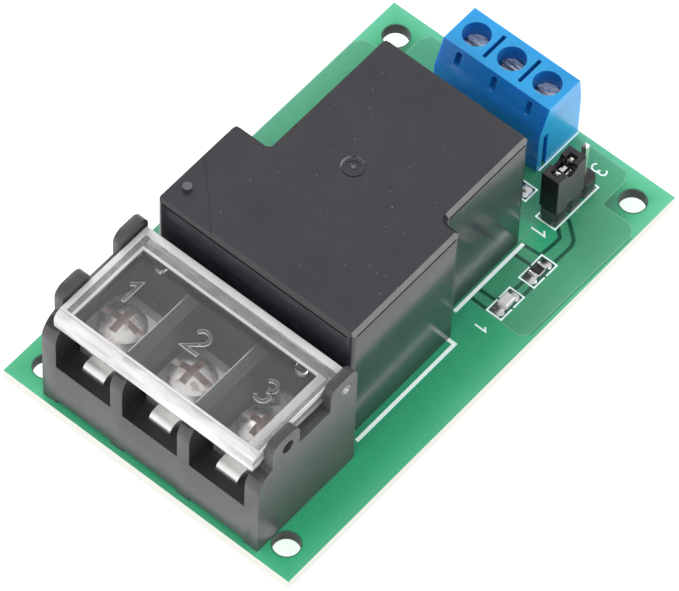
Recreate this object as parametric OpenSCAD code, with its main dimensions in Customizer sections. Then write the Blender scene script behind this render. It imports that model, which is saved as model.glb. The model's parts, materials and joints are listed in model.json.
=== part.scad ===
// Single-channel power relay board. Sizes are in millimetres and +Z is up.
// The origin is the middle of the four mounting holes, on the board's underside.
// X runs across the board, and Y runs from the barrier strip to the input block.

/* [Board] */
// Thickness of the board
board_t = 1.6; // [1:0.1:2.4]
// Bare board beside each end of the barrier strip
board_margin = 5.1; // [4.8:0.1:9]
// Diameter of the mounting holes
mount_d = 3.2; // [2.2:0.1:3.4]
// Mounting hole centres in from the long edges
mount_inset_x = 3.25; // [3:0.05:4]
// Mounting hole centres in from the short edges
mount_inset_y = 3.5; // [3:0.1:6]
// How far every soldered tail stands below the board
tail_drop = 1.5; // [1.2:0.1:3]
// Height of the solder cones on the underside
solder_h = 0.9; // [0.5:0.1:1.1]
// Width of solder around a tail at the board
solder_ring = 0.6; // [0.3:0.05:0.7]

/* [Relay case] */
// Middle of the relay across the board
relay_x = -0.3; // [-2:0.1:2]
// Width across the two wings of the case
relay_w = 27.6; // [26:0.2:31]
// Length of the case, front to rear
relay_l = 32.6; // [31:0.2:38]
// Height of the case above the board
relay_h = 19.8; // [18:0.2:24]
// Gap between the barrier strip and the case
relay_gap = 1.4; // [1:0.1:4]
// How much narrower the neck is than the left wing
step_left = 4.8; // [3:0.1:5.2]
// How much narrower the neck is than the right wing
step_right = 2.3; // [1:0.1:2.6]
// Length of the left wing from the front
wing_left = 13.1; // [12:0.1:16]
// Length of the right wing from the front
wing_right = 18.1; // [16:0.1:22]
// Wall of the case
relay_wall = 1.2; // [0.8:0.1:1.4]
// Bevel along the top edges of the case
relay_bevel = 0.5; // [0.2:0.05:0.8]
// Radius of the upright corners of the case
relay_corner = 0.8; // [0.4:0.1:1.5]
// Radius in the inside corner behind each wing
relay_fillet = 0.7; // [0.5:0.1:1.8]
// Reach of the lowered front left corner of the top
vent_corner = 8; // [6:0.5:10]
// Drop of the lowered corner
vent_drop = 0.15; // [0.1:0.05:0.3]
// Vent nub in from the left side of the case
vent_x = 1.7; // [1.4:0.1:2.4]
// Vent nub behind the front of the case
vent_y = 3.1; // [2.4:0.1:3.6]
// Diameter of the vent nub
vent_d = 1.1; // [0.8:0.1:1.6]
// Height of the vent nub
vent_h = 0.5; // [0.3:0.1:0.8]
// Diameter of the round mould mark on the top
mark_d = 2.9; // [2:0.1:4]
// Depth of the round mould mark
mark_depth = 0.1; // [0.05:0.05:0.2]
// Diameter of the moat in the mould mark
moat_d = 1.7; // [1.4:0.1:2]
// Diameter of the gate in the middle of the mould mark
gate_d = 0.5; // [0.4:0.05:1]
// Mould mark left of the middle of the neck
mark_x = 1.7; // [0:0.1:3]
// Mould mark behind the front of the case
mark_y = 17; // [14:0.5:20]
// Thickness of the plug-in base of the case
base_t = 2; // [1.6:0.1:3]

/* [Relay works] */
// Radius of the bobbin flanges
flange_r = 7.2; // [6.4:0.1:7.4]
// Thickness of the bobbin flanges
flange_t = 0.8; // [0.6:0.1:1.2]
// Outer radius of the bobbin tube
tube_r = 3.8; // [3.6:0.1:4.2]
// Depth of the winding below the flange rim
winding_drop = 0.5; // [0.3:0.1:1.5]
// Radius of the iron core
core_r = 2.8; // [2.4:0.1:3]
// Radius of the pole face
pole_r = 4.4; // [3.6:0.1:5.5]
// Thickness of the pole face
pole_t = 0.8; // [0.6:0.1:1.2]
// Thickness of the yoke
yoke_t = 1.4; // [1:0.1:1.6]
// Width of the yoke and the armature
yoke_w = 10; // [8:0.2:12]
// Thickness of the armature
armature_t = 1.4; // [1:0.1:1.8]
// How far the armature stands open at rest, in degrees
armature_open = 3.5; // [2.5:0.25:4]
// Air gap that is left when the armature is pulled in
air_gap = 0.05; // [0.04:0.01:0.15]
// Gap between the works and the walls of the case
works_gap = 0.3; // [0.2:0.05:0.6]
// Room above the armature inside the case
head_room = 1.3; // [1.2:0.1:2.5]
// Thickness of the moving blade
blade_t = 0.4; // [0.3:0.05:0.6]
// Width of the moving blade
blade_w = 5; // [4.4:0.2:6]
// Drop of the blade from the armature to the contacts
blade_drop = 6.4; // [5.8:0.1:7]
// Contacts behind the front of the case
contact_y = 7.2; // [6:0.1:7.6]
// Radius of the contact buttons
contact_r = 1.8; // [1.4:0.1:2]
// Height of a contact button
contact_h = 0.7; // [0.5:0.05:0.8]
// Thickness of the contact strips
strip_t = 0.8; // [0.6:0.05:1]
// Width of the contact strips
strip_w = 5; // [4:0.2:6]
// Width of the soldered tails of the contact strips
strip_tail = 2; // [1.4:0.1:2.4]
// Thickness of the common terminal on the yoke
common_t = 0.6; // [0.5:0.05:0.8]
// Side of the square coil pins
coil_pin = 0.7; // [0.5:0.05:0.9]
// Spacing of the coil pins
coil_pin_dx = 15.2; // [14.4:0.1:15.6]

/* [Barrier strip] */
// Middle of the barrier strip across the board
bar_x = 0.15; // [0:0.05:0.2]
// Pitch of the barrier terminals
bar_pitch = 9.5; // [9:0.1:11]
// Thickness of the dividers
bar_wall = 1.7; // [1.4:0.1:1.8]
// Thickness of the end walls
bar_end = 2; // [1.8:0.1:2.6]
// Depth of the strip, front to rear
bar_d = 16; // [15.6:0.1:19]
// Height of the dividers and end walls
bar_h = 14.2; // [13.8:0.1:16]
// Height of the front sill and the floor of the bays
sill_h = 7.2; // [6.4:0.1:7.4]
// Bare board in front of the strip
bar_edge = 0.65; // [0.3:0.05:2]
// Height of the feet under the strip
bar_foot = 0.6; // [0.4:0.1:1]
// Radius of the front top corners of the walls
bar_round = 3; // [2:0.1:3.2]
// Thickness of the rear wall
bar_back = 2; // [1.6:0.1:2.4]
// Top of the rear wall below the dividers
bar_back_drop = 0.9; // [0.7:0.1:2]
// Thickness of the hinge ears
ear_t = 1.2; // [0.9:0.05:1.3]
// Width of the rear ears
ear_w = 4.4; // [3.8:0.1:4.6]
// Top of the ears above the dividers
ear_rise = 3.7; // [3.4:0.1:5]
// Radius of the ear corners
ear_round = 1.4; // [0.8:0.1:1.8]
// Ear holes above the dividers
ear_hole_z = 1.4; // [1.2:0.05:1.6]
// Rear ear holes in from the rear of the strip
ear_hole_y = 1.9; // [1.8:0.05:2.1]
// Spacing of the front and rear ear holes
ear_span = 9.45; // [8.6:0.05:9.8]

/* [Barrier terminals] */
// Screw axis behind the front of the strip
screw_y = 7.1; // [6.8:0.1:7.4]
// Thickness of the terminal plates
plate_t = 1; // [0.8:0.05:1.2]
// Width of the terminal plates
plate_w = 6.6; // [6:0.1:7.2]
// Front edge of the terminal plates behind the front of the strip
plate_front = 3.3; // [2.8:0.1:4]
// Rear end of the terminal plates behind the screw axis
plate_rear = 5.4; // [4.8:0.1:5.8]
// Width of the wire tongue in front of each plate
tongue_w = 3; // [2.4:0.1:4]
// Front of the tongue behind the front of the strip
tongue_front = 1.6; // [1:0.1:2.2]
// Width of the soldered tails
leg_w = 1.4; // [1:0.1:1.8]
// Radius of the clamp screws
clamp_r = 1.7; // [1.4:0.05:1.9]
// Length of the clamp screws below the head
clamp_l = 6.4; // [5.8:0.1:7]
// Radius of the screw heads
head_r = 2.75; // [2.4:0.05:3.1]
// Height of the screw heads
head_h = 2.6; // [2:0.1:2.8]
// Width of the slot and the cross in the screw heads
slot_w = 0.9; // [0.6:0.05:1.2]
// Depth of the slot in the screw heads
slot_depth = 0.9; // [0.5:0.1:1.2]
// Length of the cross in the screw heads
cross_l = 3.6; // [3:0.1:4.4]
// Depth of the cross in the screw heads
cross_depth = 1.4; // [1:0.1:1.8]
// Side of the square washers, across the bay
washer_w = 7; // [6.2:0.1:7.4]
// Side of the square washers, front to rear
washer_d = 7.4; // [6.6:0.1:7.6]
// Thickness of the square washers
washer_t = 1; // [0.8:0.05:1.2]
// Room left below the tips of the clamp screws
well_room = 0.4; // [0.2:0.1:0.6]
// Room around the clamp screws in the body
well_gap = 0.5; // [0.3:0.05:0.8]

/* [Clear cover] */
// Thickness of the top of the cover
cover_t = 1.2; // [0.9:0.05:1.3]
// Top of the cover above the ear holes
cover_rise = 0.75; // [0.65:0.05:0.9]
// Thickness of the side and front flanges
cover_wall = 1.4; // [1:0.1:1.6]
// Bottom of the front flange below the top of the cover
cover_drop = 2.15; // [1.9:0.05:2.2]
// Front of the cover behind the front of the strip
cover_front = 0.5; // [0.3:0.05:0.8]
// Radius along the front top edge of the cover
cover_round = 1; // [0.6:0.05:1.1]
// Reach of the cover behind the hinge
cover_lip = 1.5; // [1:0.1:1.6]
// Radius of the hinge rod along the rear of the cover
rod_r = 0.85; // [0.7:0.05:1]
// Radius of the hinge pins
hinge_r = 0.8; // [0.6:0.05:0.9]
// Gap between the cover and the ears
cover_gap = 0.2; // [0.1:0.05:0.4]
// Diameter of the stop studs under the cover
stud_d = 1.4; // [1:0.1:2]
// Middle of a stop stud in from the side of the cover
stud_x = 4.2; // [3:0.1:6]

/* [Input block] */
// Middle of the input block across the board
input_x = -1; // [-3:0.1:1]
// Pitch of the input terminals
input_pitch = 5.08; // [5:0.02:5.4]
// Depth of the block
input_d = 7.5; // [7.3:0.1:9]
// Height of the block
input_h = 10.3; // [9.8:0.1:12]
// Set-back of the top at the relay side
input_slope = 1.6; // [1:0.1:2]
// Height of the shoulder at the relay side
input_shoulder = 6.6; // [6:0.1:8]
// Set-back of the shoulder at the relay side
input_draft = 0.15; // [0:0.05:0.4]
// Set-back of the top at the wire side
input_lean = 0.5; // [0.2:0.1:0.8]
// Bare board behind the block
input_edge = 0.15; // [0:0.05:1]
// Clear board between the relay and the block
input_lane = 8.2; // [7.6:0.1:12]
// Front and rear walls of the block
input_wall = 0.9; // [0.7:0.05:1]
// Walls between the poles
input_web = 0.9; // [0.7:0.05:1]
// Radius of the screw bores
bore_r = 1.7; // [1.6:0.02:1.8]
// Thickness of the ledge under the screw heads
ledge_t = 0.5; // [0.4:0.05:0.6]
// Radius of the input screw heads
input_head_r = 1.6; // [1.45:0.01:1.64]
// Width of the slot in the input screws
input_slot_w = 0.6; // [0.4:0.05:0.8]
// Depth of the slot in the input screws
input_slot_depth = 0.8; // [0.5:0.1:1]
// Height of the input screw heads
input_head_h = 1.75; // [1.4:0.05:2]
// Radius of the input screw shanks
input_screw_r = 1.2; // [1:0.05:1.3]
// Thickness of the threaded top of a cage
cage_top = 0.8; // [0.7:0.05:0.9]
// Thickness of the floor of a cage
cage_floor = 0.6; // [0.5:0.05:0.7]
// Thickness of the sides of a cage
cage_side = 0.6; // [0.5:0.05:0.7]
// Lift of the cages when the screws are tightened
cage_lift = 1.5; // [1.2:0.1:1.6]
// Floor of the open cages above the board
cage_z = 0.6; // [0.5:0.05:0.7]
// Thickness of the contact bars
bar_t = 0.5; // [0.4:0.05:0.55]
// Width of the contact bars
bar_w = 2; // [1.6:0.1:2.2]
// Width of the input contacts' soldered tails
input_tail = 0.9; // [0.6:0.05:1.2]
// Width of the sight slots
sight_w = 0.84; // [0.6:0.02:1.2]
// Height of the sight slots
sight_h = 1.8; // [1.4:0.1:2.2]
// Sight slots below the top of the block
sight_drop = 0.5; // [0.3:0.1:0.8]
// Width of the grooves between the poles
groove_w = 0.5; // [0.3:0.05:0.7]
// Length of the grooves between the poles
groove_l = 3.8; // [3:0.1:4.4]
// Depth of the grooves between the poles
groove_depth = 1; // [0.5:0.1:1.5]
// Width of the keyway in the right end
key_w = 0.8; // [0.5:0.05:1]
// Depth of the keyway in the right end
key_depth = 0.4; // [0.2:0.02:0.44]
// Width of the wire entries
entry_w = 3.2; // [2.6:0.1:3.6]
// Height of the wire entries
entry_h = 3.6; // [3:0.1:4]
// Corner radius of the wire entries
entry_round = 0.8; // [0.4:0.1:1.2]

/* [Selector header] */
// Pitch of the header pins
header_pitch = 2.54; // [2.5:0.02:2.7]
// Height of the header's plastic
header_h = 2.5; // [2:0.1:3]
// Clear board between the input block and the header
header_gap = 3.9; // [2:0.1:5]
// Middle of the header in front of the input block
header_lead = 0.8; // [0:0.1:1.6]
// Cut corners of the header's plastic
header_cut = 0.5; // [0.3:0.05:0.7]
// Side of the square pins
pin_w = 0.64; // [0.5:0.02:0.7]
// Height of the pins above the plastic
pin_h = 6; // [5:0.1:8]
// Height of the jumper
jumper_h = 6.1; // [5.4:0.1:7]
// Width of the jumper
jumper_w = 2.5; // [2.3:0.05:2.6]
// Thickness of the jumper's walls
jumper_wall = 0.45; // [0.35:0.05:0.5]
// Thickness of the jumper's top
jumper_top = 0.8; // [0.5:0.1:1]
// Radius of the notch in the jumper's top
notch_r = 0.9; // [0.6:0.05:1]
// Thickness of the jumper's clip
clip_t = 0.2; // [0.15:0.01:0.25]
// Width of the bridge of the jumper's clip
clip_bridge = 0.4; // [0.3:0.05:0.6]

/* [Small parts] */
// Length of a chip part
chip_l = 2; // [1.6:0.1:3.2]
// Width of a chip part
chip_w = 1.25; // [0.8:0.05:1.6]
// Height of a chip resistor
chip_h = 0.55; // [0.4:0.05:0.7]
// Length of the metal ends of a chip part
chip_end = 0.4; // [0.3:0.05:0.6]
// Height of the lamp's lens above its base
lens_h = 0.55; // [0.4:0.05:0.8]
// Bevel of the lamp's lens
lens_bevel = 0.12; // [0.05:0.01:0.2]
// Height of the lamp's base
lamp_h = 0.3; // [0.2:0.05:0.5]
// Middle of the lamp beside the relay's neck
lamp_lane = 4.05; // [3:0.05:5]
// Middle of the lamp in front of the relay's rear
lamp_y = 7.7; // [6:0.1:11]
// Spacing of the lamp and its resistor
lamp_dy = 5.65; // [4:0.05:7]
// Middle of the small parts behind the relay
small_lane = 5.4; // [3:0.1:5.8]
// Length of the transistor's case
transistor_l = 2.9; // [2.6:0.1:3.2]
// Width of the transistor's leads
lead_w = 0.4; // [0.3:0.05:0.5]
// Length of the diode's case
diode_l = 4.2; // [3.6:0.1:4.6]
// Width of the diode's case
diode_w = 2.6; // [2.2:0.1:3]
// Height of the diode
diode_h = 2.2; // [1.8:0.1:2.4]
// Thickness of the diode's tabs
tab_t = 0.15; // [0.1:0.01:0.2]
// Width of the diode's tabs
tab_w = 1.5; // [1.2:0.1:1.8]

/* [Fits] */
// Running clearance of shafts, on the radius
fit = 0.06; // [0.03:0.01:0.08]
// Clearance of pieces that are pushed together, each side
push = 0.05; // [0.03:0.01:0.08]
// Clearance of pieces that slide, each side
slide = 0.15; // [0.1:0.01:0.2]
// Clearance of tails in the board, on the radius
drill = 0.1; // [0.05:0.01:0.2]

/* [Hidden] */
$fn = 64;
eps = 0.01;
POLES = [1, 2, 3];
case_colour = [0.19, 0.19, 0.21];

// Board, worked out from what stands on it
bar_l = len(POLES) * bar_pitch - bar_wall + 2 * bar_end;
board_w = bar_l + 2 * board_margin;
board_l = bar_edge + bar_d + relay_gap + relay_l + input_lane + input_d + input_edge;
mount_x = board_w / 2 - mount_inset_x;
mount_y = board_l / 2 - mount_inset_y;

// Barrier strip
bar_y0 = bar_edge - board_l / 2;
bar_y1 = bar_y0 + bar_d;
bar_x0 = bar_x - bar_l / 2;
bar_x1 = bar_x + bar_l / 2;
floor_z = board_t + sill_h;
wall_z = board_t + bar_h;
foot_z = board_t + bar_foot;
clamp_y = bar_y0 + screw_y;
plate_y1 = clamp_y + plate_rear;
washer_z = floor_z + plate_t + push;
head_z = washer_z + washer_t;
well_r = clamp_r + well_gap;
well_z = head_z - clamp_l - well_room;
hinge_y = bar_y1 - ear_hole_y;
hinge_z = wall_z + ear_hole_z;
function bay_x(i) = bar_x + (i - 2) * bar_pitch;

// Clear cover
cover_x0 = bar_x0 + ear_t + cover_gap;
cover_x1 = bar_x1 - ear_t - cover_gap;
cover_z1 = hinge_z + cover_rise;
cover_y0 = bar_y0 + cover_front;
cover_y1 = hinge_y + cover_lip;
lip_sweep = sqrt(cover_lip * cover_lip + cover_rise * cover_rise);
flange_z = cover_z1 - cover_drop;
side_z = wall_z + cover_gap;

// Relay case
relay_x0 = relay_x - relay_w / 2;
relay_x1 = relay_x + relay_w / 2;
relay_y0 = bar_y1 + relay_gap;
relay_y1 = relay_y0 + relay_l;
relay_z1 = board_t + relay_h;
neck_x0 = relay_x0 + step_left;
neck_x1 = relay_x1 - step_right;
neck_x = (neck_x0 + neck_x1) / 2;
left_y1 = relay_y0 + wing_left;
right_y1 = relay_y0 + wing_right;

// Relay works, stacked up from the base
works_z = board_t + base_t;
rise = armature_reach() * sin(armature_open);
arm_z = relay_z1 - relay_wall - head_room - rise - blade_t - armature_t;
pole_z = arm_z - air_gap;
flange_z1 = pole_z - pole_t;
bobbin_z0 = works_z + yoke_t;
yoke_y1 = relay_y1 - relay_wall - works_gap - common_t;
yoke_y0 = yoke_y1 - yoke_t;
coil_y = yoke_y0 - slide - flange_r;
arm_y0 = coil_y - flange_r;
function armature_reach() = relay_l - relay_wall - works_gap - common_t - contact_y;
touch_y = relay_y0 + contact_y;
blade_z = arm_z + armature_t - blade_drop;
blade_y = arm_y0 - 3 * works_gap;
make_z = blade_z - 2 * contact_h - air_gap;
break_z = blade_z + blade_t + 2 * contact_h + rise + 3 * air_gap;
make_x = relay_x1 - relay_wall - works_gap - strip_t;
break_x = relay_x0 + relay_wall + works_gap + strip_t;

// Input block
input_w = len(POLES) * input_pitch;
input_x0 = input_x - input_w / 2;
input_x1 = input_x + input_w / 2;
input_y1 = board_l / 2 - input_edge;
input_y0 = input_y1 - input_d;
input_z1 = board_t + input_h;
cage_h = cage_floor + cage_lift + push + bar_t + slide + cage_top;
cavity_z1 = board_t + cage_z + cage_h + cage_lift + slide;
input_head_z = cavity_z1 + ledge_t;
cavity_y0 = input_y0 + input_wall;
cavity_y1 = input_y1 - input_wall;
cavity_w = input_pitch - input_web;
input_bore_y = (input_y0 + input_slope + input_y1 - input_lean) / 2;
cage_y0 = cavity_y0 + bar_t + slide;
cage_y1 = cavity_y1 - slide;
cage_w = cavity_w - 2 * slide;
cage_floor_z = board_t + cage_z;
entry_z = cage_floor_z + cage_floor;
sight_z = input_z1 - sight_drop;
bar_z = cage_floor_z + cage_floor + cage_lift + push;
function pole_x(i) = input_x + (i - 2) * input_pitch;

// Selector header
header_x = input_x1 + header_gap + header_pitch / 2;
header_y = input_y0 - header_lead;
header_z1 = board_t + header_h;
pin_z1 = header_z1 + pin_h;
jumper_y = header_y - header_pitch / 2;
jumper_l = 2 * header_pitch - 2 * push;
jumper_z0 = header_z1 + push;
jumper_z1 = jumper_z0 + jumper_h;
clip_x = pin_w / 2 + push;
function pin_y(i) = header_y + (i - 2) * header_pitch;

// Small parts
lamp_x = neck_x1 + lamp_lane;
lamp_mid = relay_y1 - lamp_y;
lane_y = relay_y1 + small_lane;
base_resistor_x = input_x1 - 0.4;
transistor_x = input_x;
diode_x = input_x0 + 1.5;

// Outline of the transistor's case and of one lead, from its middle outwards and up from the board
transistor_section = [[-0.65, 0.5], [-0.6, 0.1], [0.6, 0.1], [0.65, 0.5], [0.55, 1.1], [-0.55, 1.1]];
transistor_leads = [[-0.95, -1], [0.95, -1], [0, 1]];
lead_section = [[0.5, 0.45], [0.95, 0.45], [1, 0.1], [1.2, 0.1], [1.2, 0], [0.85, 0],
                [0.8, 0.35], [0.5, 0.35]];
// Outline of a tab of the diode, from the end of its case outwards and up from the board
tab_section = [[-0.1, 1.2], [tab_t, 1.2], [tab_t, 0], [-0.7, 0], [-0.7, tab_t], [-0.1, tab_t]];

// Soldered tails: X, Y, size along X, size along Y
tails = concat(
    [for (i = POLES) [bay_x(i), plate_y1 - plate_t / 2, leg_w, plate_t]],
    [for (i = POLES) [pole_x(i), cavity_y0 + bar_t / 2, input_tail, bar_t]],
    [for (i = POLES) [header_x, pin_y(i), pin_w, pin_w]],
    [for (s = [-1, 1]) [neck_x + s * coil_pin_dx / 2, yoke_y0, coil_pin, coil_pin]],
    [[make_x + strip_t / 2, touch_y, strip_t, strip_tail],
     [break_x - strip_t / 2, touch_y, strip_t, strip_tail],
     [neck_x, yoke_y1 + common_t / 2, strip_tail, common_t]]);
function tail_r(t) = norm([t[2], t[3]]) / 2;

// Lays a profile drawn in Y and Z along X
module along_x(x0, x1) {
    translate([x0, 0, 0]) rotate([90, 0, 90]) linear_extrude(x1 - x0) children();
}

// Lays a profile drawn in X and Z along Y
module along_y(y0, y1) {
    translate([0, y1, 0]) rotate([90, 0, 0]) linear_extrude(y1 - y0) children();
}

// A block between two corners
module block(low, high) {
    translate(low) cube(high - low);
}

// A rectangle between two corners with round corners
module rounded(low, high, r) {
    translate([low[0] + r, low[1]]) square([high[0] - low[0] - 2 * r, high[1] - low[1]]);
    translate([low[0], low[1] + r]) square([high[0] - low[0], high[1] - low[1] - 2 * r]);
    for (x = [low[0] + r, high[0] - r], y = [low[1] + r, high[1] - r]) translate([x, y]) circle(r);
}

// A rectangle between two corners with its two upper corners cut at 45 degrees
module beveled(low, high, b) {
    polygon([low, [high[0], low[1]], [high[0], high[1] - b], [high[0] - b, high[1]],
             [low[0] + b, high[1]], [low[0], high[1] - b]]);
}

// The part of a soldered tail from a height down to its end under the board
module tail(t, top, spare = 0) {
    translate([t[0], t[1], (top - tail_drop) / 2])
        cube([t[2] + 2 * spare, t[3] + 2 * spare, top + tail_drop], center = true);
}

module circuit_board() {
    color("seagreen") linear_extrude(board_t) difference() {
        square([board_w, board_l], center = true);
        for (x = [-mount_x, mount_x], y = [-mount_y, mount_y]) translate([x, y]) circle(d = mount_d);
        for (t = tails) translate([t[0], t[1]]) circle(tail_r(t) + drill);
    }
}

module solder_joints() {
    color("silver") for (t = tails) difference() {
        translate([t[0], t[1], -solder_h])
            cylinder(h = solder_h, r1 = tail_r(t) + drill, r2 = tail_r(t) + solder_ring);
        tail(t, board_t);
    }
}

// One box of the relay's outline, with beveled top edges and round upright corners
module case_box(low, high) {
    intersection() {
        translate([0, 0, board_t]) linear_extrude(relay_h) rounded(low, high, relay_corner);
        along_x(low[0], high[0]) beveled([low[1], board_t], [high[1], relay_z1], relay_bevel);
        along_y(low[1], high[1]) beveled([low[0], board_t], [high[0], relay_z1], relay_bevel);
    }
}

// The relay's plan, drawn in by an inset
module case_plan(inset) {
    translate([relay_x0 + inset, relay_y0 + inset])
        square([neck_x - relay_x0 - inset, wing_left - 2 * inset]);
    translate([neck_x, relay_y0 + inset])
        square([relay_x1 - neck_x - inset, wing_right - 2 * inset]);
    translate([neck_x0 + inset, relay_y0 + inset])
        square([neck_x1 - neck_x0 - 2 * inset, relay_l - 2 * inset]);
}

// Fills the corner between a wing and the neck with a fillet, towards -X or +X
module wing_fillet(x, y, side) {
    translate([x, y, board_t]) linear_extrude(relay_h - relay_bevel - fit) difference() {
        translate([side < 0 ? -relay_fillet : -eps, -eps]) square(relay_fillet + eps);
        translate([side * relay_fillet, relay_fillet]) circle(relay_fillet);
    }
}

module relay_cover() {
    color(case_colour) difference() {
        union() {
            case_box([relay_x0, relay_y0], [neck_x, left_y1]);
            case_box([neck_x, relay_y0], [relay_x1, right_y1]);
            case_box([neck_x0, relay_y0], [neck_x1, relay_y1]);
            wing_fillet(neck_x0, left_y1, -1);
            wing_fillet(neck_x1, right_y1, 1);
        }
        translate([0, 0, board_t - eps])
            linear_extrude(relay_h - relay_wall + eps) case_plan(relay_wall);
        // Lowered corner round the vent
        translate([relay_x0, relay_y0, relay_z1 - vent_drop]) linear_extrude(1)
            polygon([[-1, -1], [vent_corner + 1, -1], [-1, vent_corner + 1]]);
        // Round mould mark with the gate in its middle
        translate([neck_x - mark_x, relay_y0 + mark_y, relay_z1 - mark_depth]) linear_extrude(1) {
            difference() {
                circle(d = mark_d);
                circle(d = mark_d - 4 * mark_depth);
            }
            difference() {
                circle(d = moat_d);
                circle(d = gate_d);
            }
        }
    }
    color(case_colour) translate([relay_x0 + vent_x, relay_y0 + vent_y, relay_z1 - vent_drop - fit])
        cylinder(h = vent_h + fit, d = vent_d);
}

module relay_base() {
    color([0.16, 0.16, 0.17]) difference() {
        translate([0, 0, board_t]) linear_extrude(base_t) case_plan(relay_wall + push);
        for (t = tails) tail(t, works_z + 1, push);
        translate([neck_x, coil_y, works_z - 0.5]) cylinder(h = 1, r = core_r + push);
    }
}

module coil_bobbin() {
    color("ivory") translate([neck_x, coil_y, 0]) difference() {
        rotate_extrude() {
            translate([core_r + push, bobbin_z0]) square([tube_r - core_r - push, flange_z1 - bobbin_z0]);
            for (z = [bobbin_z0, flange_z1 - flange_t])
                translate([core_r + push, z]) square([flange_r - core_r - push, flange_t]);
        }
    }
}

module coil_winding() {
    color("peru") translate([neck_x, coil_y, 0]) rotate_extrude()
        translate([tube_r, bobbin_z0 + flange_t])
            square([flange_r - winding_drop - tube_r, flange_z1 - bobbin_z0 - 2 * flange_t]);
}

module coil_core() {
    color("gainsboro") translate([neck_x, coil_y, 0]) {
        translate([0, 0, works_z]) cylinder(h = flange_z1 - works_z + eps, r = core_r);
        translate([0, 0, flange_z1]) cylinder(h = pole_t, r = pole_r);
    }
}

module relay_yoke() {
    color("gainsboro") difference() {
        along_x(neck_x - yoke_w / 2, neck_x + yoke_w / 2) polygon([
            [coil_y - pole_r, works_z], [yoke_y1, works_z], [yoke_y1, pole_z], [yoke_y0, pole_z],
            [yoke_y0, bobbin_z0], [coil_y - pole_r, bobbin_z0]]);
        translate([neck_x, coil_y, works_z - 1]) cylinder(h = yoke_t + 2, r = core_r + push);
    }
}

// Turns the armature's pieces from pulled in to open, about the edge of the yoke
module opened() {
    translate([0, yoke_y1, pole_z]) rotate([-armature_open, 0, 0]) translate([0, -yoke_y1, -pole_z])
        children();
}

module relay_armature() {
    color("silver") opened()
        block([neck_x - yoke_w / 2, arm_y0, arm_z], [neck_x + yoke_w / 2, yoke_y1, arm_z + armature_t]);
}

module contact_blade() {
    top = arm_z + armature_t;
    color("goldenrod") opened() difference() {
        union() {
            along_x(neck_x - blade_w / 2, neck_x + blade_w / 2) polygon([
                [yoke_y1 - 2, top], [yoke_y1 - 2, top + blade_t],
                [blade_y - blade_t, top + blade_t], [blade_y - blade_t, blade_z + blade_t],
                [touch_y, blade_z + blade_t], [touch_y, blade_z],
                [blade_y, blade_z], [blade_y, top]]);
            translate([neck_x, touch_y, blade_z]) cylinder(h = blade_t, d = blade_w);
        }
        translate([neck_x, touch_y, blade_z - 1]) cylinder(h = 3, r = contact_r / 2 + push);
    }
}

// A domed contact button that stands on z = 0
module button() {
    dome_r = 2 * contact_r + contact_h;
    intersection() {
        cylinder(h = contact_h, r = contact_r);
        translate([0, 0, contact_h - dome_r]) sphere(dome_r);
    }
}

module moving_contact() {
    color("silver") opened() translate([neck_x, touch_y, blade_z]) {
        mirror([0, 0, 1]) button();
        translate([0, 0, -eps]) cylinder(h = blade_t + 2 * eps, r = contact_r / 2);
        translate([0, 0, blade_t]) button();
    }
}

// An angled contact strip from the contact out to a side wall and down to its tail
module contact_strip(x_in, x_wall, z, t) {
    leg_x = x_wall > x_in ? x_wall : x_wall - strip_t;
    over_x = x_wall > x_in ? x_wall + strip_t : x_in;
    color("orange") {
        block([min(x_in, leg_x), touch_y - strip_w / 2, z - strip_t],
              [over_x, touch_y + strip_w / 2, z]);
        block([leg_x, touch_y - strip_w / 2, works_z],
              [leg_x + strip_t, touch_y + strip_w / 2, z - strip_t + eps]);
        tail(t, works_z + eps);
    }
}

module make_terminal() {
    contact_strip(neck_x - contact_r - 0.5, make_x, make_z, tails[11]);
}

module make_contact() {
    color("silver") translate([neck_x, touch_y, make_z]) button();
}

module break_terminal() {
    contact_strip(neck_x + contact_r + 0.5, break_x, break_z + strip_t, tails[12]);
}

module break_contact() {
    color("silver") translate([neck_x, touch_y, break_z]) mirror([0, 0, 1]) button();
}

module common_terminal() {
    color("orange") {
        block([neck_x - strip_w / 2, yoke_y1, works_z],
              [neck_x + strip_w / 2, yoke_y1 + common_t, flange_z1]);
        tail(tails[13], works_z + eps);
    }
}

module coil_pins() {
    color("silver") for (t = [tails[9], tails[10]]) tail(t, works_z + 3 * coil_pin);
}

// Outline of a divider or end wall, with a round front top corner
module wall_outline(low_z) {
    translate([bar_y0 + bar_round, low_z]) square([bar_d - bar_round, wall_z - low_z]);
    translate([bar_y0, low_z]) square([bar_round, wall_z - bar_round - low_z]);
    translate([bar_y0 + bar_round, wall_z - bar_round]) circle(bar_round);
}

// The two hinge ears of an end wall
module ears() {
    difference() {
        for (y = [hinge_y - ear_span, hinge_y])
            rounded([y + ear_hole_y - ear_w, wall_z - bar_round],
                    [y + ear_hole_y, wall_z + ear_rise], ear_round);
        for (y = [hinge_y - ear_span, hinge_y]) translate([y, hinge_z]) circle(hinge_r + fit);
    }
}

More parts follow.
